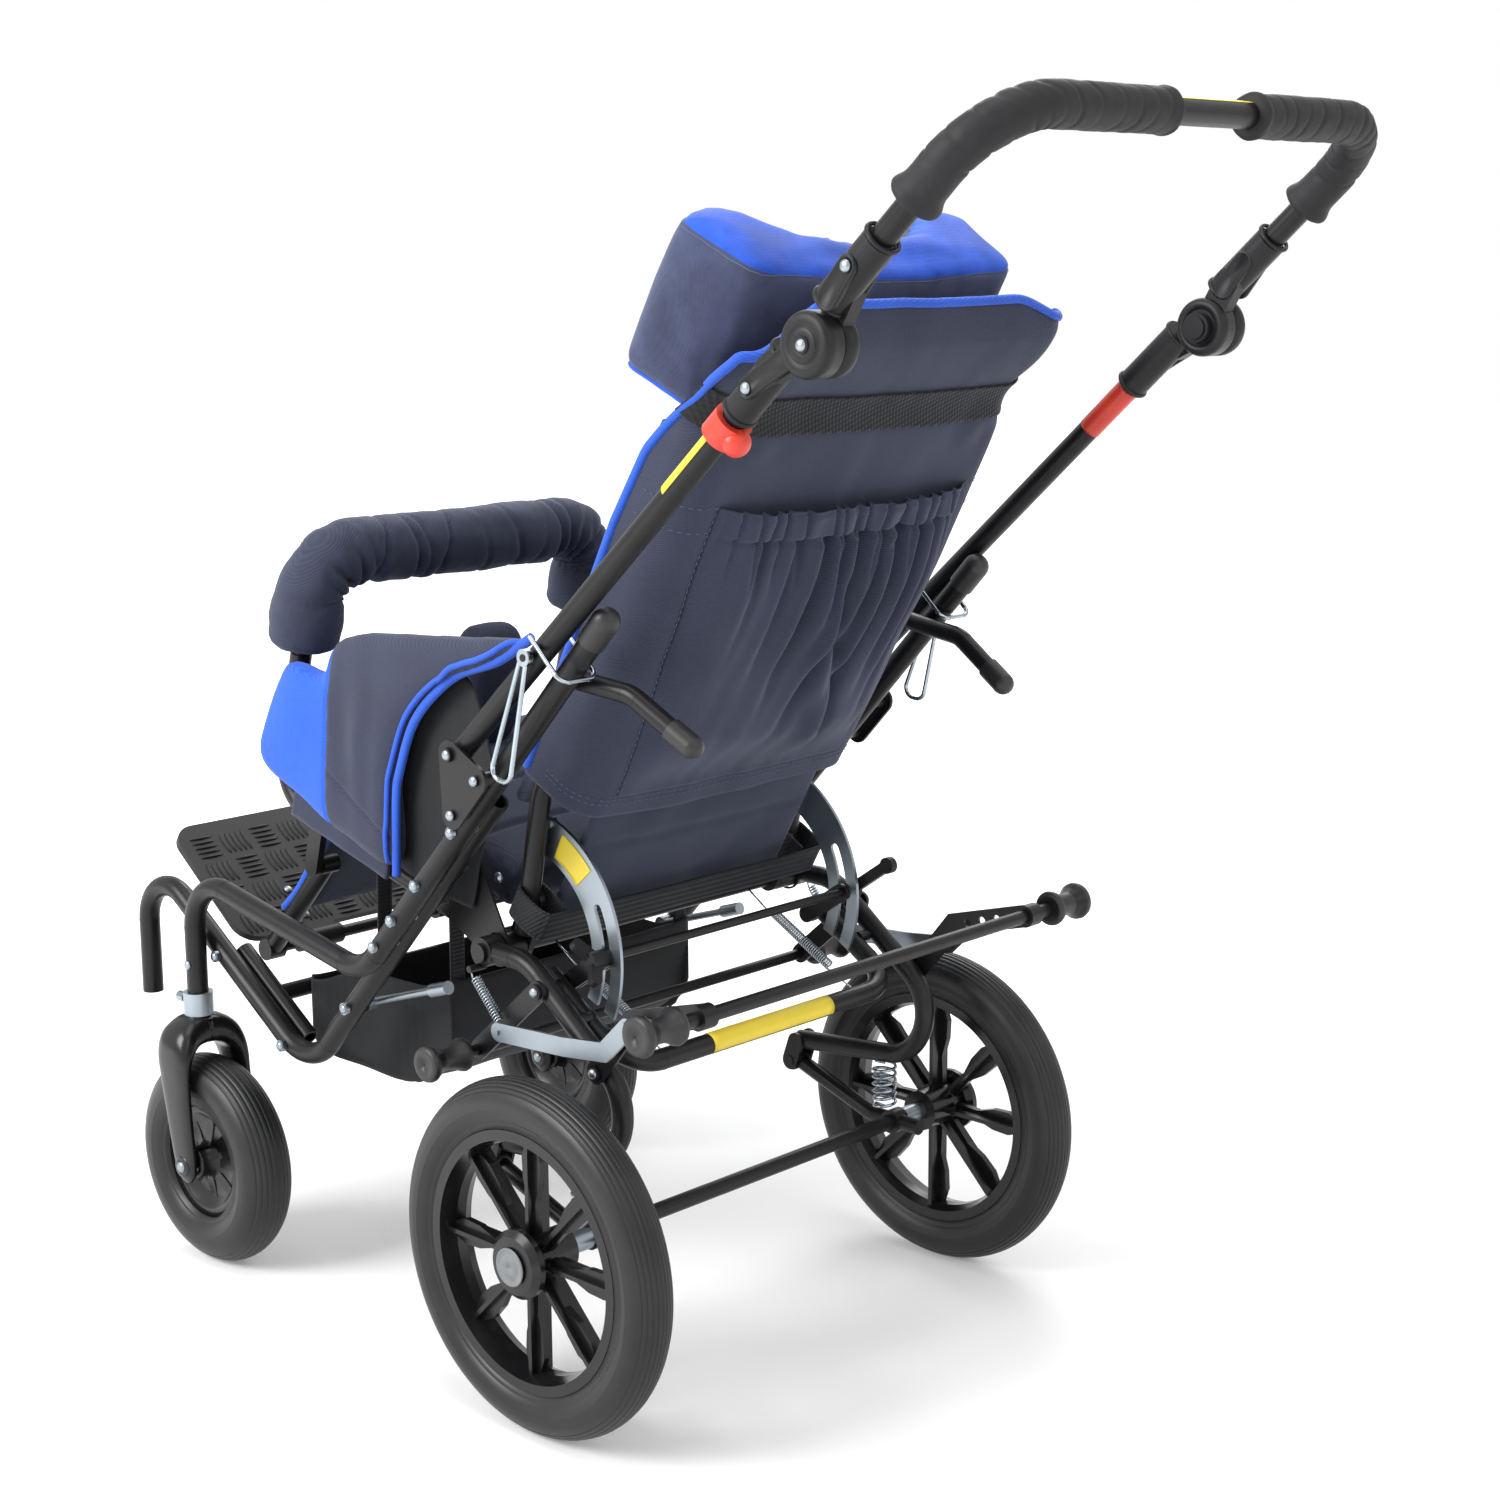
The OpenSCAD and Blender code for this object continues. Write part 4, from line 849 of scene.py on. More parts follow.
class BUGGY_OT_frame_finish(bpy.types.Operator):
    """Finishes of the solids that stay in view"""

    bl_idname = "buggy.frame_finish"
    bl_label = "Frame finishes"

    def execute(self, context):
        for finish, names in NODE_FINISH.items():
            for name in names:
                obj = frame["nodes"][name]
                obj.data.materials.clear()
                obj.data.materials.append(MATERIALS[finish])
        return {"FINISHED"}


class BUGGY_OT_back_cover(bpy.types.Operator):
    """Cloth stretched over the back tubes, with its lower flap and blue binding"""

    bl_idname = "buggy.back_cover"
    bl_label = "Back cover"

    def execute(self, context):
        rows, wall, across = 130, 2.2, np.linspace(1, -1, 151)

        def cover_pair(j, i):
            z = COVER_LOW + (cover_top(across[i]) - COVER_LOW) * j / rows
            return [on_back(*cover_point(across[i], z, out)) for out in (0.0, -wall)]
        cover = piece("back_cover_cloth", *sewn(rows + 1, len(across), cover_pair), "twill", "backrest", "navy_cloth",
                      "back_cover")

        def flap_pair(j, i):
            z, t = 12 + 150 * j / 49, 2 * i / 60 - 1
            x = 138 * t
            sag = 2.5 * noise.noise(Vector((x / 45, z / 40, 3))) - 1.8 * bump(z, 108, 5)
            y = 13 - 4 * abs(t) ** 6 + sag * (1 - abs(t) ** 8) + 1.5 * math.sin(x / 16) * smooth(40, 12, z)
            drop = 2.5 * noise.noise(Vector((x / 60, 7, 1))) * smooth(60, 12, z)
            return on_back(x, y, z + drop), on_back(x, y - 5, z + drop)
        flap = piece("back_cover_flap", *sewn(50, 61, flap_pair), "twill", "backrest", "navy_cloth")

        edge, far = ([cover_point(t, z) for z in np.linspace(COVER_LOW + 6, cover_top(t) - 3, 60)] for t in (1, -1))
        top = [cover_point(t, cover_top(t)) for t in np.linspace(0.98, -0.98, 120)]
        path = even([on_back(*p) for p in edge + top + far[::-1]], 420)
        piece("back_cover_binding", *tape(path, 10, sizes().binding, 0.25), "binding", "backrest", "blue_cloth")
        return {"FINISHED"}


# Each fold's place under the hem and at its lower end, the height where it ends, its depth in millimetres and its
# width. Places, heights and widths are shares of the pocket
POCKET_FOLDS = ((0.66, 0.70, 0.50, 4.0, 0.030), (0.42, 0.47, 0.42, 5.0, 0.032), (0.20, 0.27, 0.30, 9.0, 0.040),
                (0.05, 0.10, 0.48, 8.0, 0.028), (-0.10, 0.02, 0.18, 12.0, 0.045), (-0.27, -0.22, 0.40, 8.0, 0.030),
                (-0.43, -0.33, 0.15, 12.0, 0.045), (-0.60, -0.58, 0.34, 8.0, 0.034), (-0.76, -0.72, 0.22, 7.0, 0.036))


class BUGGY_OT_pocket(bpy.types.Operator):
    """Pocket on the back cover, with a gathered elastic top and hanging folds"""

    bl_idname = "buggy.pocket"
    bl_label = "Pocket"

    def execute(self, context):
        cols, rows, hem = 240, 150, 25.0
        band = 1 - hem / (POCKET_TOP - POCKET_LOW)

        def pair(j, i):
            v, s = j / rows, 1 - 2 * i / cols
            z = POCKET_LOW + (POCKET_TOP - POCKET_LOW) * v
            edge = 1 - abs(s) ** 8
            wander = 2.2 * noise.noise(Vector((s * 7, v * 3, 11))) + 0.8 * math.sin(s * 9)
            belly = 22 * edge * smooth(0, 0.25, v) * (1 - 0.45 * smooth(0.72, 1, v))
            pleat = valley(s * 25 + wander + 2.5 * (v - band) * math.sin(s * 13))
            hemmed = smooth(band - 0.012, band + 0.012, v)
            ruffle = hemmed * (3.0 - 6.0 * pleat + 1.5 * math.sin(s * 19 + v * 20))
            under_hem = -5.5 * pleat * smooth(band - 0.2, band - 0.02, v) * (1 - hemmed)
            folds = 0.0
            for start, end, low, deep, wide in POCKET_FOLDS:
                at = s - start - (end - start) * (band - v) / (band - low)
                deep *= smooth(low - 0.06, low + 0.4, v) * (1 - hemmed)
                folds += deep * (0.55 * bump(at, 1.9 * wide, 1.5 * wide) - bump(at, 0, wide))
            tuck = bump(z, POCKET_TOP - hem, 2.2) + 0.6 * bump(z, POCKET_TOP - 2.5, 2)
            slant = s + 0.52 - 0.80 * v
            sweep = 8.0 * bump(slant, 0.06, 0.10) - 7.0 * bump(slant, -0.09, 0.05)
            sweep *= smooth(0.04, 0.2, v) * smooth(0.92, 0.55, v)
            soft = 1.6 * noise.noise(Vector((s * 7, v * 5, 21)))
            lift = 1.2 + belly + (ruffle + under_hem + 1.35 * folds + 1.2 * sweep + soft - 4.0 * tuck) * edge
            return [on_back(*cover_point(s * (0.60 + 0.045 * v), z, max(0.9, lift) - wall)) for wall in (0.0, 0.8)]
        cloth = piece("back_pocket", *sewn(rows + 1, cols + 1, pair), "twill", "backrest", "navy_cloth")
        return {"FINISHED"}


class BUGGY_OT_straps(bpy.types.Operator):
    """Elastic strap round the cover and the webbing across the lower back"""

    bl_idname = "buggy.straps"
    bl_label = "Straps"

    def execute(self, context):
        def strap_pair(j, i):
            v, t = j / 16, 1.02 - 2.04 * i / 200
            rib = 0.5 * (bump(v, 0.03, 0.03) + bump(v, 0.97, 0.03))
            return [on_back(*cover_point(t, 513 + 32 * v, out)) for out in (2.6 + rib, 0.4)]
        strap = piece("headrest_strap", *sewn(17, 201, strap_pair), "elastic", "backrest", "webbing_black",
                      "back_straps")

        outline = [(146.5, 25), (146.5, -4), (150, -12), (160, -14.5), (169, -12), (173, -4), (172.5, 18), (168, 27),
                   (158, 29.5), (60, 29.8), (0, 29.6)]
        half = spline(outline, 110)
        line = half + [Vector((-p.x, p.y, 0)) for p in reversed(half[:-1])]

        def web_pair(j, k):
            p, a, b = line[k], line[max(k - 1, 0)], line[min(k + 1, len(line) - 1)]
            n = Vector(((b - a).y, (a - b).x, 0)).normalized()
            wave = 0.4 * math.sin(p.x / 20)
            return [on_back(p.x + n.x * d, p.y + n.y * d + wave, 30 + 28 * j / 8) for d in (1.2, -1.2)]
        web = piece("lower_webbing", *sewn(9, len(line), web_pair), "webbing", "backrest", "webbing_black")
        return {"FINISHED"}


# Half of the headrest's outline from above: round the rear to the wing's tip, and back along the front to the middle
HEAD_REAR = [(0, -27), (112, -27), (146, -28), (157, -34), (162, -46), (172, -98), (163, -107)]
HEAD_FRONT = [(150, -112), (134, -114), (106, -108), (92, -92), (62, -79), (0, -74)]


# Front face and middle of the headrest, the stretch of its wings, and the height of the seam round its top
HEAD_FACE, HEAD_MIDDLE, WING_STRETCH, HEAD_SEAM = -74, -62, 54 / 42, 628


def head_dip(x):
    return 7 * smooth(125, 30, abs(x))


def winged(y, reach):
    """Stretches the wings, which are what stands in front of the headrest's face."""
    return y if y >= HEAD_FACE else HEAD_FACE + (y - HEAD_FACE) * reach


def head_point(p, z, k, reach=1.0):
    """A point of the headrest's outline at a height, drawn in towards the middle."""
    return on_back(p.x * k, HEAD_MIDDLE + (winged(p.y, reach) - HEAD_MIDDLE) * k, z)


class BUGGY_OT_headrest(bpy.types.Operator):
    """Winged headrest with velour sides and a bright top"""

    bl_idname = "buggy.headrest"
    bl_label = "Headrest"

    def execute(self, context):
        half = [(x, winged(y, WING_STRETCH)) for x, y in HEAD_REAR + HEAD_FRONT]
        outline = spline(half + [(-x, y) for x, y in reversed(half[1:-1])], 160, True)
        levels = ((500, 0.9, 0.9), (503, 0.96, 1.0), (510, 0.985, 1.04), (540, 0.99, 1.05), (575, 0.99, 1.06),
                  (610, 0.985, 1.03), (628, 0.975, 1.0), (634, 0.955, 0.97), (637, 0.9, 0.92))
        rings = [[head_point(p, z - head_dip(p.x) * smooth(560, 637, z), k, reach) for p in outline]
                 for z, k, reach in levels]
        pad = puff("headrest_cushion", *loft(rings), cap=sizes().pad_cap * 0.5, voxel=0.004, evening=12)

        def above(p):
            q = local(p, BACK_LEAN)
            return (q[2] + head_dip(q[0]) - HEAD_SEAM) / 1000
        press(pad, lambda p: 0.0009 * bump(above(p), 0.0, 0.0016))
        mark(pad, "top_panel", above)
        dress(pad, "velour", "backrest", "navy_cloth", "headrest_pad")

        put = skin(pad)
        rim = [put(head_point(p, 501, 0.97), 0.0006) for p in outline]
        seam = [put(head_point(p, HEAD_SEAM - head_dip(p.x), 0.985), 0.0001) for p in outline]
        piece("headrest_lower_piping", *tape(rim + [rim[0]], 8, 0.0018), "binding", "backrest", "blue_cloth")
        piece("headrest_top_seam", *tape(seam + [seam[0]], 6, 0.00045), "thread", "backrest", "navy_cloth")
        return {"FINISHED"}


def pillow(half_x, half_y, edge, crown, place, pull=0.03, steps=44):
    """A closed sewn cushion, flat below, given in the plane of a placing function."""
    def pair(j, i):
        u, v = 2 * i / steps - 1, 2 * j / steps - 1
        x, y = half_x * u * (1 - pull * (1 - v * v)), half_y * v * (1 - pull * (1 - u * u))
        return place(x, y, edge + crown * (1 - u ** 4) * (1 - v ** 4)), place(x, y, 0.0)
    return sewn(steps + 1, steps + 1, pair)


def channels(obj, angle, axis, lines, inside, depth=4.5, width=4.0):
    """Sewn channels across a pad, at places along one axis of its own frame."""
    def dip(p):
        q = local(p, angle)
        return sum(bump(q[axis], c, width) for c in lines) * depth / 1000 * inside(q)
    return press(obj, dip)


class BUGGY_OT_seat(bpy.types.Operator):
    """Seat cushion, knee block and back cushion"""

    bl_idname = "buggy.seat"
    bl_label = "Seat and back pads"

    def execute(self, context):
        cap = sizes().pad_cap
        seat = puff("seat_cushion_pad", *pillow(150, 144, 33, 9, lambda x, y, z: on_seat(x, y - 171, z + 14)), cap=cap)
        channels(seat, SEAT_TILT, 1, (-246.5, -171, -95.5),
                 lambda q: smooth(30, 40, q[2]) * smooth(150, 130, abs(q[0])))
        dress(seat, "twill", "front_frame", "navy_cloth", "seat_cushion")

        block = spline([(-284, 2), (-262, 0), (-240, 2), (-235, 40), (-242, 92), (-252, 114), (-266, 117), (-279, 110),
                        (-289, 70), (-290, 35)], 60, True)
        widths = ((-33, 0.45), (-31, 0.72), (-27, 0.88), (-20, 0.96), (0, 0.98), (20, 0.96), (27, 0.88), (31, 0.72),
                  (33, 0.45))
        rings = [[on_seat(x, -262 + (p.x + 262) * k, 57.5 + 58 + (p.y - 58) * k) for p in block] for x, k in widths]
        knee = puff("knee_block_pad", *loft(rings), cap=cap * 0.5, voxel=0.004)
        dress(knee, "twill", "front_frame", "navy_cloth")

        back = puff("back_cushion_pad", *pillow(163, 193, 16, 8, lambda x, y, z: on_back(x, -47 - z, y + 298)), cap=cap)
        channels(back, BACK_LEAN, 2, (199, 298, 397), lambda q: smooth(-58, -66, q[1]) * smooth(160, 140, abs(q[0])))
        dress(back, "twill", "backrest", "navy_cloth", "back_pad")
        return {"FINISHED"}


# Outline of a seat side in the seat's frame: up the front, along the top to its tip, and down the rear
WING = [(-330, 36), (-331, 84), (-316, 138), (-296, 148), (-258, 156), (-246, 188), (-210, 211), (-150, 234),
        (-80, 259), (-8, 283), (-40, 251), (-89, 217), (-126, 164), (-137, 110), (-136, 82), (-124, 20), (-185, 15),
        (-260, 22)]


class BUGGY_OT_wings(bpy.types.Operator):
    """Padded sides of the seat with their blue binding"""

    bl_idname = "buggy.wings"
    bl_label = "Seat sides"

    def execute(self, context):
        outline = spline(WING, 150, True)
        centre = Vector((-215, 130, 0))
        x0 = RAIL_X + 13.5
        widths = ((0, 0.4), (0.6, 0.75), (2.5, 0.9), (6, 0.97), (12, 0.99), (18, 0.97), (22, 0.9), (24, 0.75),
                  (24.6, 0.4))
        rings = [[on_seat(x0 + x, *(centre + (p - centre) * k).xy) for p in outline] for x, k in widths]
        pad = puff("seat_side_left", *loft(rings), cap=sizes().pad_cap * 0.4, voxel=0.004)

        def folds(p):
            q = local(p, SEAT_TILT)
            if q[0] < x0 + 10:
                return 0.0
            front = q[1] + 0.18 * q[2] + 210.2
            seam = 2.0 * bump(front, 0, 1.8) + 1.8 * bump(q[2] + 0.3 * q[1], 8, 2.0) * smooth(0, 8, front)
            ripple = math.sin(q[1] / 6.5 + q[2] / 55 + 1.5 * noise.noise(Vector((q[1] / 50, q[2] / 80, 8))))
            drape = 1.9 * ripple * bump(q[1] + 0.3 * q[2], -158, 30) * bump(q[2], 120, 60)
            soft = 2.0 * noise.noise(Vector((q[1] / 48, q[2] / 60, 4)))
            return (seam + drape + soft) / 1000
        press(pad, folds)
        flap = plate([[on_seat(x0 - 3 + 0.3 * math.sin(y / 9), y, z) for y in np.linspace(-296, -152, 40)]
                      for z in np.linspace(-6, 60, 16)], 0.003, 0, 0)
        low, high = (spline(pts, 40) for pts in (((-150, 18), (-92, 14), (-34, 22)),
                                                 ((-150, 150), (-88, 216), (-34, 150))))
        lining = plate([[on_seat(x0 + 3 + 0.8 * noise.noise(Vector((a.x / 30, k / 6, 2))), *a.lerp(b, k / 30).xy)
                         for a, b in zip(low, high)] for k in range(31)], -0.0014, 0, 0)
        rear = spline([(-4, 285), (-40, 251), (-89, 217), (-127, 164), (-138, 110), (-137, 82), (-122, 16)], 140)
        strip = tape([on_seat(x0 + 17, p.x + 2, p.y) for p in rear], 10, sizes().binding * 1.15, 0.3)
        put = skin(pad)
        edge = [put(on_seat(x0 + 21, p.x - 6.5, p.y + 1.5), 0.0008) for p in rear]
        welt = tape(spline(edge[::4], 120), 8, 0.0028, 0.35)
        for sign, name in SIDES:
            side = pad
            if sign < 0:
                mesh = pad.data.copy()
                mesh.transform(Matrix.Scale(-1, 4, (1, 0, 0)))
                mesh.flip_normals()
                side = link_object("seat_side_right", mesh)
            dress(side, "wing", "front_frame", "navy_cloth", *(("side_wings",) if sign > 0 else ()))
            for label, (verts, faces), finish, slot in (("flap", flap, "twill", "navy_cloth"),
                                                        ("lining", lining, "nylon", "webbing_black"),
                                                        ("binding", strip, "binding", "blue_cloth"),
                                                        ("welt", welt, "binding", "blue_cloth")):
                piece(f"seat_side_{label}_{name}", [(sign * p.x, p.y, p.z) for p in verts], faces, finish,
                                    "front_frame", slot)
        return {"FINISHED"}


def creased(path, creases):
    """Depth of the creases round a stuffed tube: each has its place along the path, depth, width and tilt."""
    steps = frames(path)
    points = np.array([tuple(p) for p in path])
    gap = (path[1] - path[0]).length

    def depth(p):
        i = int(np.argmin(((points - np.array(p)) ** 2).sum(1)))
        t, a, b = steps[i]
        off = p - path[i]
        w = math.atan2(off.dot(b), off.dot(a))
        s = (i * gap + off.dot(t)) * 1000
        total = 0.0
        for place, deep, width, tilt, turn in creases:
            at = place + tilt * math.cos(w - turn) + 2.5 * noise.noise(Vector((w * 1.3, place, 0)))
            total += 1.5 * deep * bump(s, at, 1.3 * width) * (0.55 + 0.45 * math.cos(w - turn))
        total += 1.5 * noise.noise(Vector((s / 38, w * 1.2, 9))) + 0.5 * noise.noise(Vector((s / 11, w * 2.4, 3)))
        return total / 1000
    return depth


class BUGGY_OT_bumper(bpy.types.Operator):
    """Stuffed cover of the bumper with creases at its bends"""

    bl_idname = "buggy.bumper"
    bl_label = "Bumper pad"

    def execute(self, context):
        a, b = on_seat(RAIL_X, -328, 148), on_seat(RAIL_X, -328, 234)
        c, d = (Vector((-p.x, p.y, p.z)) for p in (b, a))
        steps = 129
        path = bent([a, b, c, d], 0.045, steps + 1)
        total = (path[1] - path[0]).length * steps * 1000

        def girth(i, w):
            end = min(i / steps, 1 - i / steps) * total
            return (31 + 3.5 * smooth(75, 12, end) - 8 * math.exp(-end / 4.0) - 3.0 * bump(end, 15, 5)) / 1000
        pad = puff("bumper_cushion", *tube(path, 40, girth), cap=sizes().pad_cap * 0.5, voxel=0.0045)
        # Place along the pad, depth, width and tilt of each crease in millimetres, and the side where it is deepest:
        # 0 is the rear and a quarter turn is inside the bends
        quarter = math.pi / 2
        marks = [(48, 2.4, 3.0, 4, 1.1), (66, 3.4, 3.0, -3, quarter), (79, 6.0, 3.4, 4, 1.3),
                 (90, 3.6, 2.6, -5, quarter), (101, 6.4, 3.4, 3, 1.4), (113, 3.2, 2.8, 6, 1.0),
                 (131, 4.6, 3.0, -5, 0.6), (163, 4.8, 2.6, 6, 0.9), (171, 2.4, 2.4, 9, 0.4), (204, 4.0, 2.6, -7, 0.7),
                 (247, 1.8, 2.4, 5, quarter), (282, 2.6, 2.8, 9, 0.9), (318, 1.8, 2.4, -6, quarter),
                 (352, 3.0, 2.6, 4, 0.6), (391, 5.2, 3.0, -9, 0.7), (402, 2.2, 2.4, -6, 0.2)]
        marks += [(total - place, depth, width, -tilt, turn) for place, depth, width, tilt, turn in marks[:7]]
        press(pad, creased(path, marks))
        dress(pad, "twill", "bumper", "navy_cloth", "bumper_pad")
        return {"FINISHED"}


class BUGGY_OT_calf_pad(bpy.types.Operator):
    """Pad behind the calves with blue bound edges"""

    bl_idname = "buggy.calf_pad"
    bl_label = "Calf pad"

    def execute(self, context):
        slope = math.atan2(LEG_HINGE[1] - FOOT_HINGE[1], LEG_HINGE[0] - FOOT_HINGE[0]) - math.pi / 2

        def place(x, y, z):
            return tilted(x, -10 - z, y - 40, -slope, *LEG_HINGE)
        pad = puff("calf_cushion", *pillow(131, 57, 14, 7, place), cap=sizes().pad_cap * 0.5)
        dress(pad, "twill", "legrest", "navy_cloth", "calf_pad")
        for sign, name in SIDES:
            path = [place(sign * (134 - 3 * (1 - (y / 57) ** 2)), y, 9 + 2 * math.sin(y / 20))
                    for y in np.linspace(-56, 56, 40)]
            piece("calf_binding_" + name, *tape(path, 10, sizes().binding), "binding", "legrest", "blue_cloth")
        return {"FINISHED"}


class BUGGY_OT_basket(bpy.types.Operator):
    """Cloth basket under the seat with its hanging straps"""

    bl_idname = "buggy.basket"
    bl_label = "Basket"

    def execute(self, context):
        profile = spline([(-312.5, -97), (-306, -150), (-285, -165), (-225, -167), (-160, -164), (-118, -140),
                          (-104, -96), (-101, -60)], 80)

        def belly_pair(i, k):
            u, s, p = 2 * i / 70 - 1, k / 79, profile[k]
            x, rise = 148 * u, 4 * abs(u) ** 10
            sag = 2.2 * noise.noise(Vector((x / 50, p.x / 50, p.y / 50))) * (1 - abs(u) ** 8)
            lean = 1 if s < 0.2 else -1 if s > 0.8 else 0
            return [world(x, p.x + lean * (rise * 0.3 + wall), p.y + wall + rise + sag) for wall in (0.0, 1.5)]
        belly = piece("basket_cloth", *sewn(71, 80, belly_pair), "nylon", "front_frame", "webbing_black", "basket_net")
        for sign, name in SIDES:
            wall = []
            for k in range(61):
                y = -311 + 208 * k / 60
                low = min((p.y for p in profile if abs(p.x - y) < 6), default=-110)
                top = -70 + (-26 * smooth(-220, -312, y)) + 10 * smooth(-150, -105, y)
                low = min(low + 1.0, top - 2)
                wall.append([world(sign * (148.5 + 1.2 * math.sin(y / 17)), y, low + (top - low) * v)
                             for v in np.linspace(0, 1, 20)])
            side = piece("basket_side_" + name, *plate(wall, -sign * 0.0015, 0, 0), "nylon", "front_frame",
                         "webbing_black")
            for y0, y1, z0, z1 in ((-106, -105, -70, 24.3), (-210, -206, -76, 52.2)):
                strap = [[world(sign * x, y0 + (y1 - y0) * v, z0 + (z1 - z0) * v) for x in np.linspace(131, 147, 6)]
                         for v in np.linspace(0, 1, 24)]
                made = piece(f"basket_strap_{name}_{-y0}", *plate(strap, 0, 0.0016, 0), "webbing", "front_frame",
                             "webbing_black")
        return {"FINISHED"}


# Places of the wrinkles along a grip, in millimetres
WRINKLES = (38, 56, 74, 89, 101, 113, 128, 150, 176, 196, 214, 231, 248)


class BUGGY_OT_grips(bpy.types.Operator):
    """Wrinkled foam grips with flared collars"""

    bl_idname = "buggy.grips"
    bl_label = "Handle grips"

    def execute(self, context):
        steps, parts = 169, []
        for sign in (1, -1):
            path = bent([on_push(sign * PUSH_X, BAR_Y - 90, 0), on_push(sign * PUSH_X, BAR_Y, 0),
                         on_push(sign * 50, BAR_Y, 0)], 0.06, steps + 1)
            total = (path[1] - path[0]).length * steps * 1000

            def girth(i, w):
                s = total * i / steps
                flare = 3.6 * bump(s, 3, 7) + 1.2 * bump(s, total - 4, 4)
                end = 2.5 * math.exp(-s / 1.2) + 4 * math.exp(-(total - s) / 1.0)
                skew = 7 * math.sin(w + s / 70) + 3 * noise.noise(Vector((s / 18, w, sign)))
                wrinkle = 0.0
                for place in WRINKLES:
                    wrinkle += 1.3 * bump(s, place + skew, 1.8) * (0.6 + 0.4 * math.sin(w * 2 + place))
                soft = 0.5 * noise.noise(Vector((s / 14, w * 2, 5)))
                return (16 + flare - end - wrinkle + soft) / 1000
            parts.append(tube(path, 48, girth))
        piece("wrapped_grips", *joined(parts), "grip", "handle", "rubber_black", "handle_grips")
        return {"FINISHED"}


def stadium(a, ra, b, rb, n=18):
    """Outline of two circles joined by straight sides, as points in a plane."""
    turn = math.atan2(b[1] - a[1], b[0] - a[0])
    out = []
    for centre, r, start in ((b, rb, -90), (a, ra, 90)):
        for k in range(n + 1):
            w = turn + math.radians(start + 180 * k / n)
            out.append((centre[0] + r * math.cos(w), centre[1] + r * math.sin(w)))
    return out


class BUGGY_OT_elbows(bpy.types.Operator):
    """Rounded shells, cover plates and collars of the handle's elbows"""

    bl_idname = "buggy.elbows"
    bl_label = "Elbow trim"

    def execute(self, context):
        # Turned halves of an elbow as (radius, along), and the section of the collars at both ends of its sockets
        outer = [(2, 8), (23.6, 0.4), (23.6, 12.4), (23.0, 14.6), (21.6, 16.4), (19.6, 17.4), (17, 17.6), (13.6, 17.6),
                 (13, 16.9), (12.4, 17.6), (11.6, 18.3), (2, 18.3)]
        inner = [(15, -8), (23.6, -0.4), (23.6, -12.4), (23.0, -14.6), (21.6, -16.4), (19.6, -17.4), (15, -17.6)]
        collar = [(13 + 1.5 * math.cos(w), 1.7 * math.sin(w)) for w in np.linspace(0, 2 * math.pi, 16, False)]
        # Body, way along the push tubes, turned half, near end of a cover plate and the plates' inner and outer faces
        halves = (("push_bar", -1, outer, (PUSH_LENGTH - 21, -8.6), ((10.5, 14.8),)),
                  ("handle", 1, inner, (PUSH_LENGTH + 34.5, -4), ((10.5, 14.8), (-10.5, -13.6))))
        for body, end, profile, near, plates in halves:
            far, parts = (PUSH_LENGTH + end * 62, 0), []
            for sign in (1, -1):
                parts.append(lathe(profile, 56,
                                   lambda x, y, z: on_push(sign * (PUSH_X + x), PUSH_LENGTH + y, ELBOW_Z + z)))
                for x0, x1 in plates:
                    steps = ((x0, 0), (x1 - math.copysign(0.9, x1), 0), (x1, 0.8), (x1, 2.2), (x1 * 0.972, 2.5))
                    parts.append(loft([[on_push(sign * (PUSH_X + x), *q) for q in stadium(near, 9 - cut, far, 8 - cut)]
                                       for x, cut in steps]))
                for y in (88.5, 26.5):
                    parts.append(lathe(collar, 40,
                                       lambda x, a, b: on_push(sign * PUSH_X + a, PUSH_LENGTH + end * y + x, b)))
            piece("elbow_trim_" + body, *joined(parts), "plastic", body, "plastic_black")
        return {"FINISHED"}


def tyre_profile(radius, half, inner, grooves, depth):
    """Section of a solid tyre as (radius, along): round, with fine grooves round the tread, flat on the rim."""
    out = [(inner, -half * 0.8), (inner, 0.0), (inner, half * 0.8)]
    n = 150
    for k in range(n + 1):
        w = math.radians(128) * (1 - 2 * k / n)
        deg = math.degrees(w)
        r = half - sum(depth * bump(deg, g, 1.6) for g in grooves) + 0.25 * bump(abs(deg), 96, 4)
        out.append((radius - half + r * math.cos(w), r * math.sin(w)))
    return out


def spoke(place, angle):
    """A caster's spoke from the hub to the rim, which gets flatter and swells in the middle."""
    rows = []
    for r in np.linspace(13, 45, 8):
        tall, wide = 9 - 3.5 * smooth(13, 40, r), 3.4 + 2.2 * math.sin((r - 13) / 32 * math.pi)
        rows.append([place(x, r * math.cos(angle) - q * math.sin(angle), r * math.sin(angle) + q * math.cos(angle))
                     for x, q in ((-tall, -wide), (-tall, wide), (tall, wide), (tall, -wide))])
    return loft(rows)


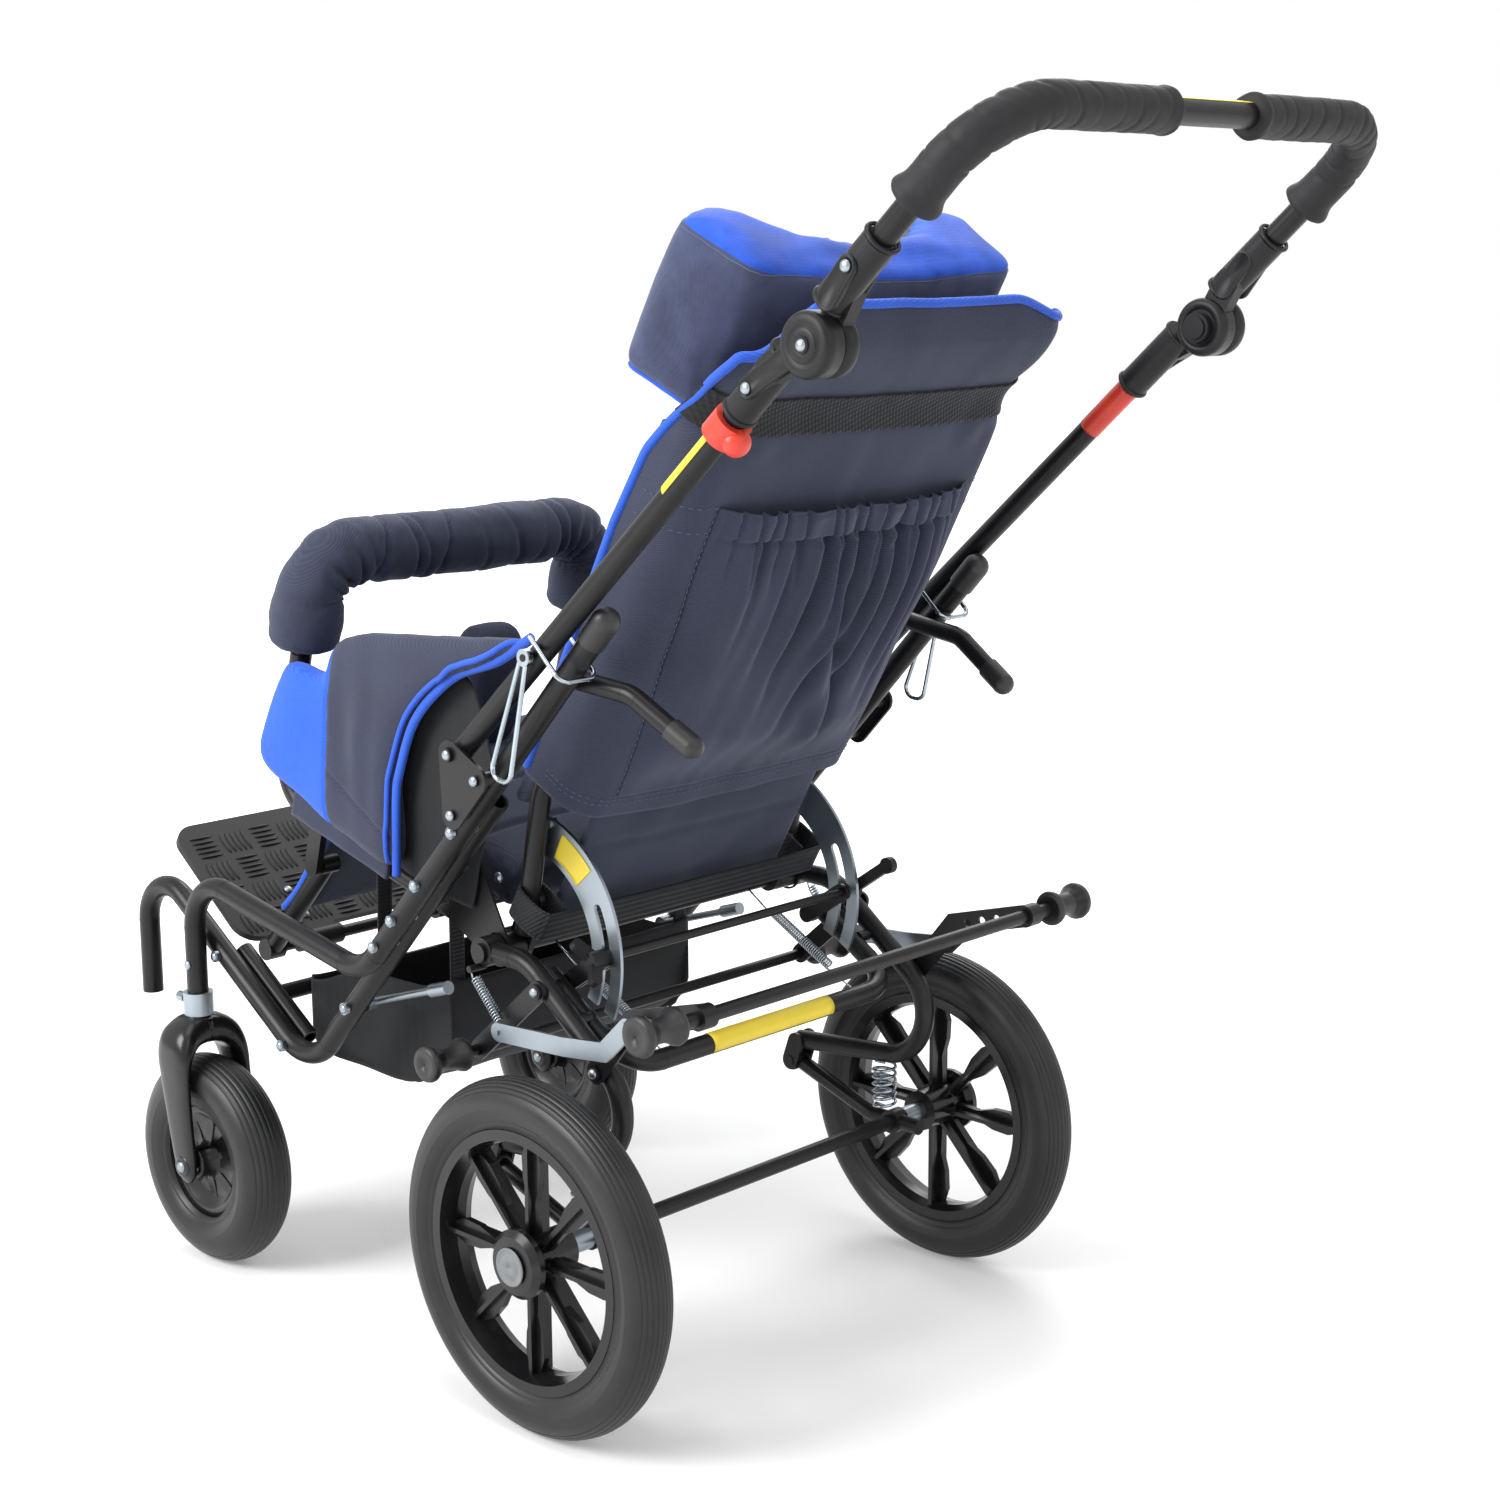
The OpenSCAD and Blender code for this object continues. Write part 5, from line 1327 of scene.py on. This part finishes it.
class BUGGY_OT_wheels(bpy.types.Operator):
    """Grooved tyres, caster wheels and plain hub discs"""

    bl_idname = "buggy.wheels"
    bl_label = "Wheels"

    def execute(self, context):
        depth = sizes().tyre_groove * 1000
        rear = tyre_profile(150, 21, 110.4, (-52, -40, -28, -16, -5, 5, 16, 28, 40, 52), depth)
        front = tyre_profile(101, 26, 55.4, (-48, -36, -24, -12, 0, 12, 24, 36, 48), 1.0)
        rim = [(5.1, -27), (14, -27), (15, -24), (15, -10), (22, -7), (38, -5), (46, -14), (55, -16)]
        rim += [(r, -x) for r, x in reversed(rim)]
        disc = [(0.2, 26.9), (15, 26.9), (16, 27.4), (16, 28.3), (14.5, 28.5), (14, 28.0), (9, 28.0), (8.6, 28.4),
                (0.2, 28.5)]
        for sign, name in SIDES:
            at_axle, at_caster = about(WHEEL_X, AXLE, sign), about(SIDE_X, CASTER, sign)
            piece("rear_tread_" + name, *lathe(rear, 120, at_axle), "tyre", "rear_wheel_" + name, "tyre_black",
                  "rear_tyre_" + name)
            piece("hub_disc_" + name, *lathe(disc, 48, at_axle), "disc", "rear_wheel_" + name, "plastic_black")
            piece("caster_tread_" + name, *lathe(front, 96, at_caster), "tyre", "front_wheel_" + name, "tyre_black",
                  "caster_wheel_" + name)
            piece("caster_rim_" + name, *lathe(rim, 64, at_caster), "rim", "front_wheel_" + name, "plastic_black")
            spokes = piece("caster_spokes_" + name, *joined(spoke(at_caster, 2 * math.pi * k / 8) for k in range(8)),
                           "rim", "front_wheel_" + name, "plastic_black")
            spokes.data.shade_flat()
        return {"FINISHED"}


# Course of a fork leg from the crown to below the axle, with its half thickness and half depth
FORK = ((0, -388, -142, 15, 20), (12, -388, -144, 14.5, 21), (23, -387, -150, 13, 23), (30.5, -385, -163, 9, 23.5),
        (33.6, -382, -184, 6, 21.5), (34.2, -377, -222, 5.4, 18.5), (34.2, -371.5, -258, 5.2, 16.5),
        (34, -369.5, -276, 4.8, 13.5), (33.6, -369, -284, 2.5, 5))


class BUGGY_OT_forks(bpy.types.Operator):
    """Moulded caster forks with round shoulders, and the axle bolts"""

    bl_idname = "buggy.forks"
    bl_label = "Caster forks"

    def execute(self, context):
        steps, around = 72, np.linspace(0, 2 * math.pi, 28, False)
        course = spline([p[:3] for p in FORK], steps)
        depths = [-p[2] for p in FORK]
        neck = [(6, -98), (6.2, -98), (6.2, -130), (16, -131), (18, -132.5), (18.4, -136), (17, -139), (17.5, -143),
                (6, -146)]
        axle = [(0.5, -36), (5, -36), (5, 36), (0.5, 36)]
        cup = [(3, 36), (11, 36), (11.5, 37.5), (10.5, 39.5), (8, 40), (3, 40)]
        tree = bolt_tree()
        for sign, name in SIDES:
            at_caster, parts = about(SIDE_X, CASTER, sign), []
            for side in (1, -1):
                rings = []
                for i, p in enumerate(course):
                    q = course[min(i + 1, steps - 1)] - course[max(i - 1, 0)]
                    q = Vector((q.x, 0, q.z)).normalized()
                    thick, deep = (float(np.interp(-p.z, depths, [f[k] for f in FORK])) for k in (3, 4))
                    ring = []
                    for w in around:
                        a, b = (math.copysign(abs(v) ** 0.75, v) for v in (math.cos(w), math.sin(w)))
                        x = sign * (SIDE_X + side * (p.x - q.z * thick * a))
                        ring.append(world(x, p.y + deep * b, p.z + q.x * thick * a))
                    rings.append(ring)
                parts += [loft(rings), lathe([(r, side * x) for r, x in cup], 32, at_caster)]
            parts += [lathe(neck, 40, lambda x, y, z: world(sign * SIDE_X + y, SWIVEL_Y + z, x)),
                      lathe(axle, 20, at_caster)]
            piece("caster_fork_" + name + "_shell", *joined(parts), "rim", "swivel_" + name, "plastic_black",
                  "caster_fork_" + name)
            ends = [world(sign * SIDE_X + side * 40, *CASTER) for side in (1, -1)]
            grown("caster_bolts_" + name, tree, ends, {"stand": [Vector((side, 0, 0)) for side in (1, -1)]},
                  {"Radius": 0.0056}, "zinc", "swivel_" + name, "zinc")
        return {"FINISHED"}


def coil(start, end, radius, wire, tail, turns):
    """A wound spring between two points, with straight ends that reach the pins."""
    along = end - start
    length, along = along.length, along.normalized()
    out = along.cross(Vector((1, 0, 0))).normalized()
    side = along.cross(out)
    n = int(turns * 20)
    path = [start]
    for i in range(n + 1):
        w = 2 * math.pi * turns * i / n
        middle = start + along * (tail + (length - 2 * tail) * i / n)
        path.append(middle + (out * math.cos(w) + side * math.sin(w)) * radius)
    return tape(path + [end], 8, wire)


class BUGGY_OT_springs(bpy.types.Operator):
    """Wound springs in three pairs: the assist pair rides on the rear frame, and the other two pairs are left in place
    on no body
    """

    bl_idname = "buggy.springs"
    bl_label = "Springs"

    def execute(self, context):
        # Name, ends on the left side, radius of the coil and of the wire, straight ends, turns and the far end's body
        rows = (("suspension", (LEG_X, 114, -165.6), (LEG_X, 114, -208.1), 10.5, 1.5, 0.6, 6, "rear_axle"),
                ("return", (LEG_X + 19, -2, -12.5), (LEG_X + 19, 40, -57), 3.6, 0.8, 8.5, 17, "foot_lock"),
                ("assist", (120, 0, 0), (120, *BOWED_TUBE), 3.9, 0.9, 42, 33, None))
        for name, a, b, radius, wire, tail, turns, far in rows:
            coils = joined(coil(world(sign * a[0], *a[1:]), world(sign * b[0], *b[1:]), radius / 1000, wire / 1000,
                                tail / 1000, turns) for sign in (1, -1))
            made = link_object(name + "_coils", new_mesh(name + "_coils", *coils))
            made.data.materials.append(MATERIALS["wire"])
            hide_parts(name + "_springs")
            if far:
                tuple(world(0, *a[1:]))
                tuple(world(0, *b[1:]))
                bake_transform(made)
            else:
                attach(made, "rear_frame")
        return {"FINISHED"}


class BUGGY_OT_pedal_ends(bpy.types.Operator):
    """Hourglass rubber ends of the foot bar and the pedal"""

    bl_idname = "buggy.pedal_ends"
    bl_label = "Pedal ends"

    def execute(self, context):
        waist = [(6.2, 1), (13.2, 1), (15, 2.2), (15.6, 4.6), (14.8, 7.6), (12, 12), (10.2, 18), (9.9, 25), (11.2, 31),
                 (14.4, 36), (16.3, 38.4), (16.6, 41), (15.8, 43.6), (13.5, 44.8), (9, 45), (8.2, 44.5), (1, 44.5),
                 (1, 43)]
        for body, start, scale, spot in (("foot_lock", WHEEL_X - 25, 1.0, (269, 2)),
                                         ("pedal", WHEEL_X - 40, 0.94, (-3, -85))):
            profile = [(r * scale, x) for r, x in waist]
            ends = joined(lathe(profile, 48, about(start, spot, sign)) for sign in (1, -1))
            piece("rubber_ends_" + body, *ends, "rubber", body, "rubber_black")
        return {"FINISHED"}


class BUGGY_OT_bands(bpy.types.Operator):
    """Plain yellow and red marker films"""

    bl_idname = "buggy.bands"
    bl_label = "Marker films"

    def execute(self, context):
        def film(name, finish, body, place, radius, along, turn, spread):
            """A film on a tube: its ends along the tube, and its middle and half width as angles in degrees."""
            steps = np.linspace(*along, 24)
            turn, spread = math.radians(turn), math.radians(spread)

            def pair(j, k):
                w = turn + spread * (2 * k / 24 - 1)
                return [place(steps[j], r * math.cos(w), r * math.sin(w)) for r in (radius + 0.45, radius + 0.08)]
            piece(name, *sewn(24, 25, pair), finish, body, "red_plastic")

        film("push_tube_strip", "yellow", "push_bar", lambda s, a, b: on_push(PUSH_X + a, s, b), 9.5, (335, 398),
             38, 34)
        film("push_tube_band", "red_film", "push_bar", lambda s, a, b: on_push(-PUSH_X + a, s, b), 9.5, (370, 423),
             0, 179)
        film("handle_strip", "yellow", "handle", lambda s, a, b: on_push(s, BAR_Y + a, b), 9.5, (-49, 49), 75, 55)
        film("bowed_tube_strip", "yellow", "rear_frame", lambda s, a, b: world(s, BOWED_TUBE[0] + a, BOWED_TUBE[1] + b),
             9, (-75, 75), 40, 75)
        radii, angles = np.linspace(89, 113, 8), np.radians(np.linspace(42, 64, 30))

        def arc_pair(j, k):
            return [world(x, radii[j] * math.cos(angles[k]), radii[j] * math.sin(angles[k])) for x in (149.1, 148.6)]
        piece("recline_arc_strip", *sewn(8, 30, arc_pair), "yellow", "backrest", "red_plastic")
        return {"FINISHED"}


def side_z(y):
    """Height of the slanting side tube."""
    return -38 + (y + 129) * (302.6 + 38) / (188 + 129)


class BUGGY_OT_bolts(bpy.types.Operator):
    """Domed bolt heads on the frame, the joints and the footplate"""

    bl_idname = "buggy.bolts"
    bl_label = "Bolt heads"

    def execute(self, context):
        tree = bolt_tree()
        foot_up = heading(on_foot, 0, 0, 1)
        # Placing function and place of each head on the left side, by body
        heads = {
            "front_frame": [(world, SIDE_X + 13.4, y, side_z(y)) for y in (10, -40, -74, -100)]
            + [(world, PUSH_X + 15.4, *FOLD)] + [(world, PUSH_X + 15.4, y, side_z(y)) for y in (59, 28.5)]
            + [(world, SIDE_X + 10.2, SWIVEL_Y, -80)]
            + [(world, INNER_X + 14, y, z) for y, z in ((-174, -82.6), (-273, -139), (-373, -73))],
            "push_bar": [(on_push, PUSH_X + 19.2, PUSH_LENGTH, ELBOW_Z), (on_push, PUSH_X + 15, PUSH_LENGTH - 62, 0)],
            "handle": [(on_push, PUSH_X + 15, PUSH_LENGTH + 62, 0)],
            "backrest": [(world, BACK_X + 9, -10, 58)],
            "rear_frame": [(world, 206, 144, -72), (world, 206, 74, -18.4)],
            "foot_support": [(on_foot, 85, y, 3.2) for y in (-28, -62)],
        }
        for body, spots in heads.items():
            points, stand = [], []
            for sign in (1, -1):
                points += [place(sign * x, y, z) for place, x, y, z in spots]
                stand += [foot_up if body == "foot_support" else Vector((sign, 0, 0))] * len(spots)
            grown("bolt_heads_" + body, tree, points, {"stand": stand}, {"Radius": sizes().bolt}, "zinc", body, "zinc")
        return {"FINISHED"}


class BUGGY_OT_treads(bpy.types.Operator):
    """Groups of raised bars on the footplate, turned by turns"""

    bl_idname = "buggy.treads"
    bl_label = "Footplate treads"

    def execute(self, context):
        tree = bar_tree()
        points, lie = [], []
        ways = heading(on_foot, 0, 1, 0), heading(on_foot, 1, 0, 0)
        for row in range(4):
            for col in range(9):
                cx, cy = -140 + col * 35, -32 - row * 34
                across = (row + col) % 2
                for k in range(5):
                    off = (k - 2) * 6.2
                    points.append(on_foot(cx, cy + off, 3.1) if across else on_foot(cx + off, cy, 3.1))
                    lie.append(ways[across])
        stand = [heading(on_foot, 0, 0, 1)] * len(points)
        grown("footplate_treads", tree, points, {"lie": lie, "stand": stand},
              {"Length": 0.027, "Width": 0.0034, "Height": 0.0028}, "plastic", "foot_support", "plastic_black")
        return {"FINISHED"}


class BUGGY_OT_stitching(bpy.types.Operator):
    """Rows of stitches along the seams of the back cover and its pocket"""

    bl_idname = "buggy.stitching"
    bl_label = "Stitching"

    def execute(self, context):
        gap = sizes().stitch * 1.5
        out = heading(on_back, 0, 1, 0)
        rows = []
        for sign in (1, -1):
            rows.append([cover_point(sign * (0.607 + 0.045 * v), POCKET_LOW + (POCKET_TOP - POCKET_LOW) * v, 1.0)
                         for v in np.linspace(0, 1, 60)])
            for rise in (0, 22):
                rows.append([cover_point(sign * t, POCKET_TOP - rise - 34 * (t - 0.65), 0.5)
                             for t in np.linspace(0.66, 0.93, 40)])
        for z in (POCKET_LOW - 4, POCKET_LOW - 9):
            rows.append([cover_point(t, z, 0.5) for t in np.linspace(0.9, -0.9, 120)])
        points, lie = [], []
        for row in rows:
            p, d = stitch_line([on_back(*q) for q in row], gap)
            points += p
            lie += d
        grown("cover_stitches", bar_tree(), points, {"lie": lie, "stand": [out] * len(points)},
              {"Length": sizes().stitch, "Width": 0.0009, "Height": 0.0008}, "thread", "backrest", "navy_cloth")
        return {"FINISHED"}


PIECES = (BUGGY_OT_frame_finish, BUGGY_OT_back_cover, BUGGY_OT_pocket, BUGGY_OT_straps, BUGGY_OT_headrest,
          BUGGY_OT_seat, BUGGY_OT_wings, BUGGY_OT_bumper, BUGGY_OT_calf_pad, BUGGY_OT_basket, BUGGY_OT_grips,
          BUGGY_OT_elbows, BUGGY_OT_wheels, BUGGY_OT_forks, BUGGY_OT_pedal_ends, BUGGY_OT_springs, BUGGY_OT_bands,
          BUGGY_OT_bolts, BUGGY_OT_treads, BUGGY_OT_stitching)


class BUGGY_PT_panel(bpy.types.Panel):
    """Sizes, colours and pieces of the buggy"""

    bl_label = "Buggy"
    bl_space_type = "VIEW_3D"
    bl_region_type = "UI"
    bl_category = "Buggy"

    def draw(self, context):
        for settings in (context.scene.buggy_sizes, context.scene.buggy_colours):
            box = self.layout.box()
            for name in settings.bl_rna.properties.keys():
                if name not in ("rna_type", "name"):
                    box.prop(settings, name)
        for operator in (BUGGY_OT_stage,) + PIECES:
            self.layout.operator(operator.bl_idname)


CLASSES = (BuggyColours, BuggySizes, BUGGY_OT_stage) + PIECES + (BUGGY_PT_panel,)


def register():
    for c in CLASSES:
        bpy.utils.register_class(c)
    bpy.types.Scene.buggy_colours = bpy.props.PointerProperty(type=BuggyColours)
    bpy.types.Scene.buggy_sizes = bpy.props.PointerProperty(type=BuggySizes)


def unregister():
    del bpy.types.Scene.buggy_sizes
    del bpy.types.Scene.buggy_colours
    for c in reversed(CLASSES):
        bpy.utils.unregister_class(c)


def main():
    register()
    make_materials()
    bpy.ops.buggy.stage()
    for operator in PIECES:
        getattr(bpy.ops.buggy, operator.bl_idname.split(".")[1])()


if __name__ == "__main__":
    main()
